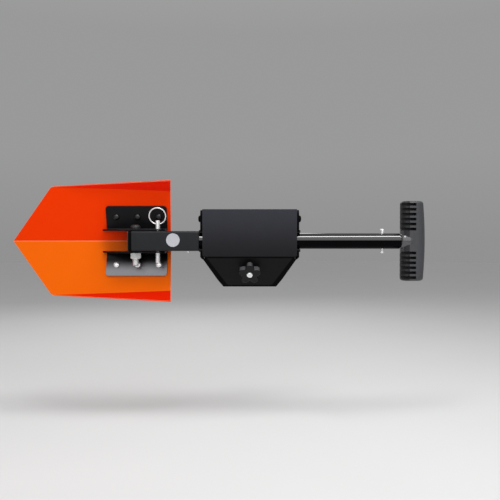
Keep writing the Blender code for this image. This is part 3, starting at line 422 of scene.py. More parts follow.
class Palette:
    """Every finish on the object."""

    powdered: Grain = Grain(1100, 0.05 * MM)
    painted: Grain = Grain(1000, 0.012 * MM)
    plated: Grain = Grain(700, 0.006 * MM)
    moulded: Grain = Grain(1500, 0.05 * MM)

    # The enamel's colour changes with how far the sheet faces up: painted light and shade.
    enamel: Finish = Enamel("orange_enamel", (0.85, 0.06, 0.0), 0.2, Grain(420, 0.012 * MM),
                            specular=0.035, rough_swing=0.03)
    # Lighter rounds on the blade's edges and crease: a painted highlight, and thinner paint on the cut
    # edges.
    enamel_rim_highlight: Finish = Finish("enamel_edge_and_crease_highlight", (0.90, 0.22, 0.07), 0.3, specular=0.3)
    # Lighter towards the top of the panel: painted light from above.
    powder: Finish = Graded("black_powder_coat", (0.006, 0.0055, 0.007), 0.5, powdered, specular=0.15,
                            other=(0.026, 0.027, 0.034), start=-36 * MM, end=66 * MM)
    # Darker than the panel: painted shade on the tongue, which faces down.
    tongue: Finish = Finish("tongue_powder_coat", (0.004, 0.004, 0.0046), 0.5, powdered, specular=0.12)
    # Near black: painted shade in the cover's bend groove and on the back bracket's edges and inner
    # faces; also used on the hinge pins and the tube's blade end.
    clamp: Finish = Finish("clamp_black", (0.0012, 0.0012, 0.0014), 0.45, painted, specular=0.04)
    # The upper bracket's dark finish: a shaded copy of the lower bracket's, painted shade on a plate
    # that faces down.
    bracket: Finish = Finish("bracket_black", (0.004, 0.004, 0.005), 0.4, painted, specular=0.14)
    # The lower bracket's finish: dark near the tube and light towards the outer edge, a painted
    # reflection of the light with the tube's painted shadow.
    lit_bracket: Finish = Graded("bracket_painted_reflection", (0.010, 0.010, 0.011), 0.3, painted, metallic=1.0,
                            other=(0.17, 0.17, 0.18), start=-36 * MM, end=-60 * MM)
    satin: Finish = Finish("satin_black_tube", (0.012, 0.013, 0.015), 0.32, Grain(1400), specular=0.2)
    gloss: Finish = Polished("gloss_black_tube", (0.0014, 0.0014, 0.002), 0.12,
                             Grain(260, 0.003 * MM, (0.02, 1.0, 1.0)), specular=0.03,
                             coat_ior=1.7, rough_swing=0.02)
    zinc: Finish = Finish("zinc_plated_steel", (0.84, 0.84, 0.85), 0.22, plated, metallic=0.7,
                          mottle=0.08)
    # A darker copy of the zinc for the upper bolts: painted shade on heads that face down.
    shaded_zinc: Finish = Finish("shaded_zinc", (0.05, 0.05, 0.053), 0.3, plated, metallic=1.0, mottle=0.08)
    grip: Finish = Finish("grip_plastic", (0.040, 0.041, 0.046), 0.46, moulded, specular=0.45)
    # Darker finish for the grip's finger side: painted shade.
    grip_finger_shade: Finish = Finish("grip_finger_side", (0.014, 0.014, 0.016), 0.5, moulded, specular=0.3)
    grip_collar: Finish = Finish("grip_collar", (0.05, 0.05, 0.055), 0.2, Grain(600, 0.006 * MM),
                                 specular=0.9)
    plastic: Finish = Finish("black_plastic", (0.016, 0.016, 0.017), 0.42, Grain(1300, 0.03 * MM),
                             specular=0.45)
    # Lighter where the knob faces up: a painted highlight on the upper sides of the lobes.
    knob: Finish = Graded("knob_plastic", (0.008, 0.008, 0.009), 0.24, Grain(900, 0.006 * MM),
                          specular=0.18, other=(0.06, 0.06, 0.064), guide=Guide.LEAN,
                          start=0.35, end=0.85)
    rubber: Finish = Finish("black_rubber", (0.012, 0.012, 0.012), 0.75, Grain(1000, 0.06 * MM),
                            specular=0.25)
    disc: Finish = Finish("pale_disc", (0.42, 0.43, 0.46), 0.35, Grain(800, 0.01 * MM),
                          specular=0.4, mottle=0.05)
    floor: Finish = Finish("pale_floor", (0.66, 0.66, 0.66), 0.8, Grain(200), specular=0.1,
                           mottle=0.02, mottle_scale=3.0)


def arc(centre: Pair, radius: float, start: float, end: float, steps: int) -> list[Pair]:
    """Points on an arc.

    Args:
        centre: the arc's centre.
        radius: its radius.
        start: the first angle, in degrees.
        end: the last angle, in degrees.
        steps: how many stretches the arc is cut into.

    Returns:
        The points, both ends included.
    """
    angles = [math.radians(start + (end - start) * step / steps) for step in range(steps + 1)]
    return [(centre[0] + radius * math.cos(a), centre[1] + radius * math.sin(a)) for a in angles]


def dome(foot: float, top: float, radius: float, steps: int) -> list[Pair]:
    """The profile of a dome, from its rim to its top, by distance along the axis and radius."""
    return [(foot + (top - foot) * up, radius * out) for out, up in arc((0, 0), 1.0, 0, 90, steps)]


def thread(start: float, end: float, radius: float, pitch: float) -> list[Pair]:
    """The profile of a threaded stretch.

    Args:
        start: where it begins along the axis.
        end: where it ends.
        radius: the crest radius.
        pitch: the distance from crest to crest.

    Returns:
        Points that run over the crests and roots.
    """
    root = radius - THREAD_DEPTH * pitch
    rise, fall = THREAD_CREST
    count = int(abs(end - start) / pitch)
    step = (end - start) / count
    points = []
    for index in range(count):
        here = start + index * step
        points += [(here, root), (here + rise * step, radius), (here + fall * step, radius)]
    return points + [(end, root)]


def rounded(corners: Sequence[Pair], radii: Sequence[float], steps: int = 6) -> list[Pair]:
    """An outline with rounded corners.

    Args:
        corners: the sharp corners, in order.
        radii: one radius for each corner, where 0 keeps it sharp.
        steps: how many stretches each round has.

    Returns:
        The outline's points.
    """
    points: list[Pair] = []
    for index, (corner, radius) in enumerate(zip(corners, radii)):
        here = Vector(corner)
        if radius == 0:
            points.append(tuple(here))
            continue
        back = (Vector(corners[index - 1]) - here).normalized()
        ahead = (Vector(corners[(index + 1) % len(corners)]) - here).normalized()
        half = back.angle(ahead) / 2
        centre = here + (back + ahead).normalized() * (radius / math.sin(half))
        start = here + back * (radius / math.tan(half)) - centre
        end = here + ahead * (radius / math.tan(half)) - centre
        turn = start.angle_signed(end)
        for step in range(steps + 1):
            points.append(tuple(centre + Matrix.Rotation(-turn * step / steps, 2) @ start))
    return points


def settle(shape: BMesh) -> None:
    """Sort edges and faces by their points, so that every run gives the same mesh.

    Args:
        shape: a mesh whose points are in a fixed order.
    """
    shape.verts.index_update()
    for items in (shape.edges, shape.faces):
        ranked = sorted(items, key=lambda item: sorted(vert.index for vert in item.verts))
        for index, item in enumerate(ranked):
            item.index = index
        items.sort()


def swept(outline: Sequence[Pair], to_space: Callable[[float, float], Vector], sweep: Vector) -> BMesh:
    """Sweep a flat outline along a vector.

    Args:
        outline: the flat points.
        to_space: gives a flat point its place.
        sweep: how far and in which direction to go.

    Returns:
        A closed shape.
    """
    shape = bmesh.new()
    face = shape.faces.new([shape.verts.new(to_space(*point)) for point in outline])
    grown = bmesh.ops.extrude_face_region(shape, geom=[face])
    moved = [item for item in grown["geom"] if isinstance(item, BMVert)]
    bmesh.ops.translate(shape, verts=moved, vec=sweep)
    settle(shape)
    bmesh.ops.recalc_face_normals(shape, faces=shape.faces)
    return shape


def sharp_edges(shape: BMesh, turn: float = SHARP_TURN) -> list[BMEdge]:
    """The edges that turn by more than an angle in degrees."""
    return [edge for edge in shape.edges if edge.calc_face_angle(0.0) > math.radians(turn)]


def round_edges(shape: BMesh, edges: Sequence[BMEdge], width: float, segments: int) -> list[BMFace]:
    """Round some edges of a shape and give back the new faces."""
    return bmesh.ops.bevel(shape, geom=edges, offset=width, offset_type="OFFSET", segments=segments,
                           affect="EDGES", profile=0.5, material=-1, clamp_overlap=True)["faces"]


def split(shape: BMesh, place: Vector, normal: Vector, halve: bool = False) -> None:
    """Split a shape along a plane, and drop what lies behind it if it is to be halved."""
    everything = [*shape.verts, *shape.edges, *shape.faces]
    bmesh.ops.bisect_plane(shape, geom=everything, plane_co=place, plane_no=normal, clear_inner=halve)


@dataclass(frozen=True)
class Spindle:
    """An axis in space that round shapes are turned about."""

    origin: Vector
    axis: Vector
    tube_edge_steps: int = 4

    def turned(self, profile: Sequence[Pair], steps: int = 64, ring: bool = False) -> BMesh:
        """Turn a profile about the axis.

        Args:
            profile: points as (distance along the axis, radius).
            steps: how many facets go round.
            ring: whether the profile closes on itself, as for a tube.

        Returns:
            A closed shape.
        """
        side = self.axis.orthogonal().normalized()
        shape = bmesh.new()
        places = [self.origin + self.axis * along + side * radius for along, radius in profile]
        verts = [shape.verts.new(place) for place in places]
        ends = verts[1:] + ([verts[0]] if ring else [])
        edges = [shape.edges.new(pair) for pair in zip(verts, ends)]
        bmesh.ops.spin(shape, geom=verts + edges, cent=self.origin, axis=self.axis, angle=math.tau,
                       steps=steps, use_merge=True)
        bmesh.ops.remove_doubles(shape, verts=shape.verts, dist=MERGE)
        settle(shape)
        bmesh.ops.recalc_face_normals(shape, faces=shape.faces)
        return shape

    def rod(self, start: float, end: float, radius: float, steps: int = 48) -> BMesh:
        """A plain bar, used to drill with."""
        return self.turned([(start, 0), (start, radius), (end, radius), (end, 0)], steps)

    def tube(self, start: float, end: float, outer: float, inner: float, edge: float,
             steps: int = 96) -> BMesh:
        """A tube whose end edges are broken.

        Args:
            start: where it begins along the axis.
            end: where it ends.
            outer: its outer radius.
            inner: its inner radius.
            edge: the radius of its outer end edges.
            steps: how many facets go round.

        Returns:
            A closed shape.
        """
        profile = [(start, inner)]
        profile += arc((start + edge, outer - edge), edge, 180, 90, self.tube_edge_steps)
        profile += arc((end - edge, outer - edge), edge, 90, 0, self.tube_edge_steps)
        profile += [(end, inner)]
        return self.turned(profile, steps, ring=True)


def linked(name: str, data: bpy.types.ID) -> Object:
    """A new object of a mesh, a lamp or a camera, linked to the scene.

    Args:
        name: the object's name.
        data: what it shows.

    Returns:
        The object.
    """
    made = bpy.data.objects.new(name, data)
    bpy.context.collection.objects.link(made)
    return made


def smooth(item: Object, sharp: float = 35) -> None:
    """Shade an object smoothly, apart from edges sharper than an angle in degrees."""
    item.data.shade_smooth()
    item.data.set_sharp_from_angle(angle=math.radians(sharp))


def repaint(finish: Finish, *nodes: str) -> None:
    """Keep some solids as they are and give them a finish.

    Args:
        finish: what they look like.
        nodes: the solids' names.
    """
    for node in nodes:
        item = bpy.data.objects[node]
        item.data.materials.clear()
        item.data.materials.append(finish.material())
        smooth(item)
        LOG.info("%s keeps its solid", node)


class Piece:
    """A mesh in the making, until it hangs on its body."""

    merge: float = 0.002 * MM
    flat_turn: float = 0.5  # degrees
    sliver: float = 0.006 * MM
    rounded_turn: float = 40  # degrees

    def __init__(self, name: str, shape: BMesh) -> None:
        """Make an object of a shape.

        Args:
            name: the object's name.
            shape: its form, which is used up.
        """
        mesh = bpy.data.meshes.new(name)
        shape.to_mesh(mesh)
        shape.free()
        self.item = linked(name, mesh)

    @classmethod
    def copy(cls, node: str) -> "Piece":
        """Copy a solid, with its points merged and its flat faces whole again.

        Args:
            node: the solid's name.

        Returns:
            A new piece in the same place.
        """
        shape = bmesh.new()
        shape.from_mesh(bpy.data.objects[node].data)
        bmesh.ops.remove_doubles(shape, verts=shape.verts, dist=cls.merge)
        bmesh.ops.dissolve_limit(shape, angle_limit=math.radians(cls.flat_turn), verts=shape.verts,
                                 edges=shape.edges)
        return cls(f"{node}_finished", shape)

    @contextmanager
    def edit(self) -> Iterator[BMesh]:
        """Open the mesh for changes and put it back.

        Yields:
            The open mesh.
        """
        shape = bmesh.new()
        shape.from_mesh(self.item.data)
        yield shape
        shape.to_mesh(self.item.data)
        shape.free()

    def modify(self, kind: str, **settings: object) -> None:
        """Replace the mesh with what a modifier makes of it.

        Args:
            kind: the modifier's type.
            settings: its properties.
        """
        modifier = self.item.modifiers.new(kind, kind)
        for key, value in settings.items():
            setattr(modifier, key, value)
        bpy.context.view_layer.update()
        graph = bpy.context.evaluated_depsgraph_get()
        result = bpy.data.meshes.new_from_object(self.item.evaluated_get(graph))
        self.item.modifiers.clear()
        self.item.data = result

    def combine(self, tool: BMesh, how: Join = Join.CUT) -> None:
        """Cut a shape out of the piece, add it, or keep what both share.

        Args:
            tool: the other shape, which is used up.
            how: what to do with it.
        """
        bmesh.ops.recalc_face_normals(tool, faces=tool.faces)
        cutter = Piece("tool", tool).item
        self.modify("BOOLEAN", operation=how.value, solver="EXACT", object=cutter)
        bpy.data.objects.remove(cutter, do_unlink=True)

    def soften(self, width: float, segments: int = 3) -> None:
        """Round every sharp edge."""
        self.modify("BEVEL", width=width, segments=segments, limit_method="ANGLE",
                    angle_limit=math.radians(self.rounded_turn), harden_normals=True)

    def thicken(self, sheet: float) -> None:
        """Give a bare surface the thickness of its sheet, behind its face."""
        self.modify("SOLIDIFY", solidify_mode="NON_MANIFOLD", nonmanifold_thickness_mode="CONSTRAINTS",
                    thickness=sheet, offset=-1)

    def paint(self, *finishes: Finish) -> None:
        """Add finishes, one for each material index."""
        for finish in finishes:
            self.item.data.materials.append(finish.material())

    def publish(self, node: str, body: Body, slot: Slot, *finishes: Finish, sharp: float = 35) -> None:
        """Mend and dress the piece and hang it on its body in place of its solid.

        Args:
            node: the solid that it stands for.
            body: what it rides on.
            slot: the record's material slot; not used.
            finishes: the finish of each material index, if it has none yet.
            sharp: edges sharper than this angle in degrees stay crisp.
        """
        item = self.item
        item.name = f"{node}_finished"
        with self.edit() as shape:
            bmesh.ops.remove_doubles(shape, verts=shape.verts, dist=self.sliver)
            bmesh.ops.dissolve_degenerate(shape, edges=shape.edges, dist=self.sliver)
            settle(shape)
        self.paint(*finishes)
        smooth(item, sharp)
        item.modifiers.new("even", "WEIGHTED_NORMAL").keep_sharp = True
        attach(item, body.value)
        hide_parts(node)
        LOG.info("%s rides on %s", item.name, body.value)


def edge_broken(node: str, width: float, body: Body, slot: Slot, finish: Finish) -> None:
    """Replace a solid by a copy whose sharp edges are rounded.

    Args:
        node: the solid to copy.
        width: how far each edge is cut back.
        body: what it rides on.
        slot: the record's material slot.
        finish: its finish.
    """
    piece = Piece.copy(node)
    piece.soften(width)
    piece.publish(node, body, slot, finish)


class ButtonBolt(Piece):
    """A domed bolt with a hexagon socket and a threaded shank."""

    rim: float = 0.33  # share of the head's rise
    socket: float = 0.5  # share of the head's radius
    socket_depth: float = 0.55  # share of the head's rise
    tip: float = 0.7  # share of the shank's radius
    edge: float = 0.2 * MM
    neck: float = 1.5 * MM
    lead: float = 0.6 * MM
    dome_steps: int = 8
    facets: int = 48

    def __init__(self, spindle: Spindle, head: Pair, end: float, head_radius: float, radius: float,
                 pitch: float) -> None:
        """Make the bolt.

        Args:
            spindle: its axis.
            head: where the head begins and ends along the axis.
            end: where the shank ends.
            head_radius: the head's radius.
            radius: the shank's radius.
            pitch: the thread's pitch.
        """
        low, high = head
        rise = high - low
        profile = dome(low + rise * self.rim, high, head_radius, self.dome_steps)[::-1]
        profile += [(low + self.edge, head_radius), (low, head_radius - self.edge), (low, radius)]
        profile += [(low - self.neck, radius)]
        profile += thread(low - self.neck, end + self.lead, radius, pitch)[1:]
        profile += [(end, radius * self.tip), (end, 0)]
        super().__init__("bolt", spindle.turned(profile, self.facets))
        floor = high - rise * self.socket_depth
        self.combine(spindle.rod(floor, high + CLEAR, head_radius * self.socket, HEXAGON))


class HexNut(Piece):
    """A hexagon nut with chamfered corners."""

    skirt: float = 0.6  # share of the step from flats to corners
    face: float = 0.97  # share of half the flats
    taper: float = 0.95  # share of half the flats
    belly: float = 1.02  # share of the corner radius
    beyond: float = 1 * MM
    facets: int = 70

    def __init__(self, spindle: Spindle, start: float, end: float, flats: float, bore: float) -> None:
        """Make the nut.

        Args:
            spindle: its axis.
            start: where it begins along the axis.
            end: where it ends.
            flats: the width across its flats.
            bore: the radius of its hole.
        """
        half, corner = flats / 2, flats / math.sqrt(3)
        super().__init__("nut", spindle.rod(start, end, corner, HEXAGON))
        skirt = (corner - half) * self.skirt
        low, high = start - self.beyond, end + self.beyond
        outer, face, belly = half * self.taper - self.beyond, half * self.face, corner * self.belly
        barrel = [(low, 0), (low, outer), (start, face), (start + skirt, belly),
                  (end - skirt, belly), (end, face), (high, outer), (high, 0)]
        self.combine(spindle.turned(barrel, self.facets), Join.KEEP_COMMON)
        self.combine(spindle.rod(start - CLEAR, end + CLEAR, bore))


@dataclass
class BladeHead:
    """Folded blade with its angle brackets, bolts and pivot."""

    crease_depth: float = 12 * MM
    tilt: float = math.radians(14)
    flange_tilt: float = math.radians(50)
    sheet: float = 2.5 * MM
    shoulder_x: float = -382 * MM
    shoulder_half: float = 104 * MM
    shoulder_round: float = 9 * MM
    shoulder_steps: int = 10
    fold_half: float = 96 * MM
    rear_half: float = 113.8 * MM
    fold_rear_x: float = -152.5 * MM
    flange_rear_x: float = -149.5 * MM
    crease_rear_x: float = -155 * MM
    rim: float = 0.8 * MM
    round_steps: int = 4
    crisp: float = 24  # degrees
    bracket_sheet: float = 3 * MM
    bracket_edge: float = 0.5 * MM
    bolt_half: float = 47 * MM
    bolt_pitch: float = 41 * MM
    bolt_head: float = 5.8 * MM
    bolt_rise: float = 4 * MM
    bolt_reach: float = 6.5 * MM
    bolt_radius: float = 2.95 * MM
    bolt_thread: float = 1 * MM
    bolt_hole: float = 3.3 * MM
    nut_rise: float = 5 * MM
    nut_flats: float = 10 * MM
    pivot: Vector = Vector((-218 * MM, -46 * MM, 0))
    pivot_bore: float = 6.3 * MM
    pivot_radius: float = 5.9 * MM
    pivot_thread: float = 1.6 * MM
    washer_edge: float = 0.4 * MM
    lock_flats: float = 19 * MM
    lock_collar: float = 1.2 * MM
    crown: float = 8.4 * MM
    crown_round: float = 1 * MM

    def build(self) -> None:
        """Make and dress every piece of the blade head."""
        self.blade()
        # The two brackets get a shaded and a lit copy of one finish: painted shade and painted
        # reflection.
        for node, finish in (("upper_bracket", Palette.bracket), ("lower_bracket", Palette.lit_bracket)):
            edge_broken(node, self.bracket_edge, Body.BLADE, Slot.POWDER, finish)
        self.bracket_fasteners()
        self.pivot_fasteners()

    def surface(self, x: float, half: float, side: int) -> Vector:
        """A point on the front of a blade half, by its distance from the crease."""
        return Vector((x, -self.crease_depth - half * math.tan(self.tilt), side * half))

    def bolt_spindles(self) -> list[Spindle]:
        """Find the axes of the six bracket bolts, square to the blade.

        Returns:
            The axes, upper row first.
        """
        spindles = []
        for side in SIDES:
            outwards = Vector((0, -math.cos(self.tilt), -side * math.sin(self.tilt)))
            for step in (-1, 0, 1):
                place = self.surface(self.pivot.x + step * self.bolt_pitch, self.bolt_half, side)
                spindles.append(Spindle(place, outwards))
        return spindles

    def front(self) -> BMesh:
        """The front of the blade: two halves that meet at the crease, each with its flange.

        Returns:
            An open surface that faces forward.
        """
        low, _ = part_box("blade")
        shape = bmesh.new()
        tip = shape.verts.new(self.surface(low.x, 0, 1))
        crease_rear = shape.verts.new(self.surface(self.crease_rear_x, 0, 1))
        corners = [(low.x, 0), (self.shoulder_x, self.shoulder_half),
                   (self.flange_rear_x, self.rear_half)]
        outline = rounded(corners, [0, self.shoulder_round, 0], self.shoulder_steps)[1:-1]
        width = self.rear_half - self.fold_half
        rise = width * math.tan(self.flange_tilt)
        for side in SIDES:
            shoulder = [shape.verts.new(self.surface(x, half, side)) for x, half in outline]
            fold = self.surface(self.fold_rear_x, self.fold_half, side)
            edge = fold + Vector((self.flange_rear_x - self.fold_rear_x, -rise, side * width))
            fold_rear = shape.verts.new(fold)
            edge_rear = shape.verts.new(edge)
            panel = [tip, *shoulder, fold_rear, crease_rear]
            flange = [shoulder[-1], edge_rear, fold_rear]
            for loop in (panel, flange):
                shape.faces.new(loop if side == 1 else loop[::-1])
        bmesh.ops.recalc_face_normals(shape, faces=shape.faces)
        if sum(face.normal.y for face in shape.faces) > 0:
            bmesh.ops.reverse_faces(shape, faces=shape.faces)
        return shape

    def blade(self) -> None:
        """The blade, with a lighter finish on the fine rounds of its cut edges and its crease: a
        painted highlight, and thinner paint on the cut edges.
        """
        blade = Piece("blade_sheet", self.front())
        blade.thicken(self.sheet)
        blade.paint(Palette.enamel, Palette.enamel_rim_highlight)
        with blade.edit() as shape:
            bmesh.ops.remove_doubles(shape, verts=shape.verts, dist=MERGE)
            crease = [edge for edge in shape.edges if all(abs(vert.co.z) < CLOSE for vert in edge.verts)
                      and edge.calc_face_angle(0.0) < math.radians(SHARP_TURN)]
            # The rounds on the crease and the edges take the lighter finish: a painted highlight.
            for face in round_edges(shape, crease, self.rim, self.round_steps):
                face.material_index = 1
            for face in round_edges(shape, sharp_edges(shape), self.rim, self.round_steps):
                face.material_index = 1
        for spindle in self.bolt_spindles():
            blade.combine(spindle.rod(-DRILL, DRILL, self.bolt_hole))
        blade.publish("blade", Body.BLADE, Slot.ENAMEL, sharp=self.crisp)

    def bracket_fasteners(self) -> None:
        """Six domed bolts through the brackets, with nuts behind the blade."""
        head = self.bracket_sheet + 2 * GAP
        seat = -self.sheet - GAP
        for index, spindle in enumerate(self.bolt_spindles(), start=1):
            bolt = ButtonBolt(spindle, (head, head + self.bolt_rise), seat - self.bolt_reach,
                              self.bolt_head, self.bolt_radius, self.bolt_thread)
            # The upper row takes the darker zinc: painted shade.
            finish = Palette.shaded_zinc if spindle.origin.z > 0 else Palette.zinc
            bolt.publish(f"bracket_bolt_{index}", Body.BLADE, Slot.ZINC, finish)
            nut = HexNut(spindle, seat - self.nut_rise, seat, self.nut_flats, self.bolt_hole)
            nut.publish(f"bracket_nut_{index}", Body.BLADE, Slot.ZINC, Palette.zinc)

    def pivot_fasteners(self) -> None:
        """The pivot bolt, its washer and its lock nut."""
        spindle = Spindle(self.pivot, ALONG_Z)
        low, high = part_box("pivot_washer")
        ring = spindle.tube(low.z, high.z, high.x - self.pivot.x, self.pivot_bore, self.washer_edge)
        Piece("washer", ring).publish("pivot_washer", Body.BLADE, Slot.POWDER, Palette.powder)
        bolt_low, bolt_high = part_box("pivot_bolt")
        bolt = ButtonBolt(spindle, (high.z + GAP, bolt_high.z), bolt_low.z, bolt_high.x - self.pivot.x,
                          self.pivot_radius, self.pivot_thread)
        for face in bolt.item.data.polygons:
            face.material_index = 1 if face.center.z > high.z else 0
        bolt.publish("pivot_bolt", Body.BLADE, Slot.ZINC, Palette.zinc, Palette.plastic)
        nut_low, nut_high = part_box("pivot_nut")
        seat = nut_low.z + self.lock_collar
        nut = HexNut(spindle, seat, nut_high.z, self.lock_flats, self.pivot_bore)
        edge = self.crown_round
        crown = [(seat + edge, self.pivot_bore), (seat + edge, self.crown)]
        crown += arc((nut_low.z + edge, self.crown - edge), edge, 90, 180, EDGE_STEPS)
        crown += [(nut_low.z, self.pivot_bore)]
        nut.combine(spindle.turned(crown, ring=True), Join.ADD)
        nut.publish("pivot_nut", Body.BLADE, Slot.ZINC, Palette.zinc)


@dataclass
class LockPin:
    """The lock pin and its pull ring."""

    place: Vector = Vector((-174 * MM, -55 * MM, 0))
    radius: float = 4.1 * MM
    tip_round: float = 1.8 * MM
    head_round: float = 1.2 * MM
    round_steps: int = 6
    grooves: Pair = (-31 * MM, -27.5 * MM)
    groove_depth: float = 0.5 * MM
    groove_floor: float = 0.7 * MM
    eye_z: float = 32 * MM
    eye_radius: float = 2.3 * MM
    ring_radius: float = 15.6 * MM
    ring_facets: int = 128
    wire_radius: float = 1.2 * MM
    wire_facets: int = 24
    lean: float = math.radians(15)

    def build(self) -> None:
        """Make and dress the pin and the ring."""
        low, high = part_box("lock_pin")
        tip, head, radius = self.tip_round, self.head_round, self.radius
        profile = [(low.z, 0), (low.z, radius - tip)]
        profile += arc((low.z + tip, radius - tip), tip, 180, 90, self.round_steps)
        depth, floor = self.groove_depth, self.groove_floor
        for start in self.grooves:
            profile += [(start, radius), (start + depth, radius - depth),
                        (start + depth + floor, radius - depth), (start + 2 * depth + floor, radius)]
        profile += arc((high.z - head, radius - head), head, 90, 0, self.round_steps)
        profile += [(high.z, 0)]
        pin = Piece("pin", Spindle(self.place, ALONG_Z).turned(profile))
        eye = self.place + ALONG_Z * self.eye_z
        pin.combine(Spindle(eye, ALONG_X).rod(-DRILL, DRILL, self.eye_radius))
        pin.publish("lock_pin", Body.PIN, Slot.ZINC, Palette.zinc)
        up = Vector((0, -math.sin(self.lean), math.cos(self.lean)))
        across = Vector((0, -math.cos(self.lean), -math.sin(self.lean)))
        last = 360 - 360 / self.wire_facets
        wire = [(along, self.ring_radius + out)
                for along, out in arc((0, 0), self.wire_radius, 0, last, self.wire_facets - 1)]
        ring = Spindle(eye + up * self.ring_radius, across).turned(wire, self.ring_facets, ring=True)
        Piece("ring", ring).publish("pull_ring", Body.RING, Slot.ZINC, Palette.zinc)


@dataclass
class SnapButton:
    """A spring button: a foot inside its tube, a shank and a domed end."""

    node: str
    body: Body
    outwards: Vector
    place: Vector
    radius: float
    foot_rim: float = 0.7 * MM
    foot: float = 0.8 * MM
    dome_share: float = 0.85  # share of the radius
    dome_steps: int = 10
    facets: int = 48

    def build(self) -> None:
        """Make and dress the button."""
        low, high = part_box(self.node)
        base, tip = sorted((abs(low.z), abs(high.z)))
        rim = self.radius + self.foot_rim
        profile = [(base, 0), (base, rim), (base + self.foot, rim), (base + self.foot, self.radius)]
        profile += dome(tip - self.radius * self.dome_share, tip, self.radius, self.dome_steps)
        button = Piece("button", Spindle(self.place, self.outwards).turned(profile, self.facets))
        button.publish(self.node, self.body, Slot.ZINC, Palette.zinc)


@dataclass
class LeafSpring:
    """A hairpin leaf spring, parted at its middle into two arms; an arm that a button presses gets a
    mesh of its own.
    """

    node: str
    body: Body
    upper_press: Optional[str]
    lower_press: str
    flat: float = 0.02  # share of its height that a pressed arm keeps
    edge: float = 0.12 * MM
    edge_steps: int = 2

    def build(self) -> None:
        """Make and dress both arms."""
        for side, name, press in ((1, "upper", self.upper_press), (-1, "lower", self.lower_press)):
            arm = Piece.copy(self.node)
            with arm.edit() as shape:
                split(shape, Vector(), ALONG_Z * side, halve=True)
                rims = [edge for edge in shape.edges if edge.is_boundary]
                bmesh.ops.contextual_create(shape, geom=rims)
                bmesh.ops.recalc_face_normals(shape, faces=shape.faces)
            arm.soften(self.edge, self.edge_steps)
            arm.publish(self.node, self.body, Slot.ZINC, Palette.zinc)
            item = arm.item
            item.name = f"{self.node}_{name}_arm"
            if press:
                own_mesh(item)


@dataclass
class HingeTube:
    """Square tube at the blade end, with its plug, disc and socket."""

    dark_end_length: float = 6 * MM
    tube_edge: float = 0.45 * MM
    plug_edge: float = 0.5 * MM
    disc_edge: float = 0.5 * MM
    disc_facets: int = 96
    dish: Pair = (2.2 * MM, 2.6 * MM)
    dish_depth: float = 0.25 * MM

    def build(self) -> None:
        """Make and dress the tube and what it holds."""
        self.tube()
        edge_broken("tube_end_plug", self.plug_edge, Body.CLAMP, Slot.PLASTIC, Palette.plastic)
        self.disc()
        repaint(Palette.zinc, "pivot_spacer")
        repaint(Palette.plastic, "socket_bush")
        LeafSpring("socket_spring", Body.CLAMP, None, "socket_button_press").build()

    def tube(self) -> None:
        """The square tube, whose first few millimetres at the blade end are near-black."""
        tube = Piece.copy("hinge_tube")
        low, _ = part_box("hinge_tube")
        line = low.x + self.dark_end_length
        with tube.edit() as shape:
            split(shape, ALONG_X * line, ALONG_X)
            for face in shape.faces:
                face.material_index = 1 if face.calc_center_median().x < line else 0
        tube.paint(Palette.satin, Palette.clamp)
        tube.soften(self.tube_edge)
        tube.publish("hinge_tube", Body.CLAMP, Slot.SATIN)

    def disc(self) -> None:
        """The blank disc, a little dished inside its rim."""
        low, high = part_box("blank_disc")
        middle = (low + high) / 2
        radius = (high.x - low.x) / 2
        thick, edge = high.y - low.y, self.disc_edge
        profile = [(0, 0), (0, radius)] + arc((thick - edge, radius - edge), edge, 90, 0, EDGE_STEPS)
        profile += [(thick, radius - self.dish[0]), (thick - self.dish_depth, radius - self.dish[1]),
                    (thick - self.dish_depth, 0)]
        spindle = Spindle(Vector((middle.x, high.y, middle.z)), -ALONG_Y)
        disc = Piece("disc", spindle.turned(profile, self.disc_facets))
        disc.publish("blank_disc", Body.CLAMP, Slot.DISC, Palette.disc)


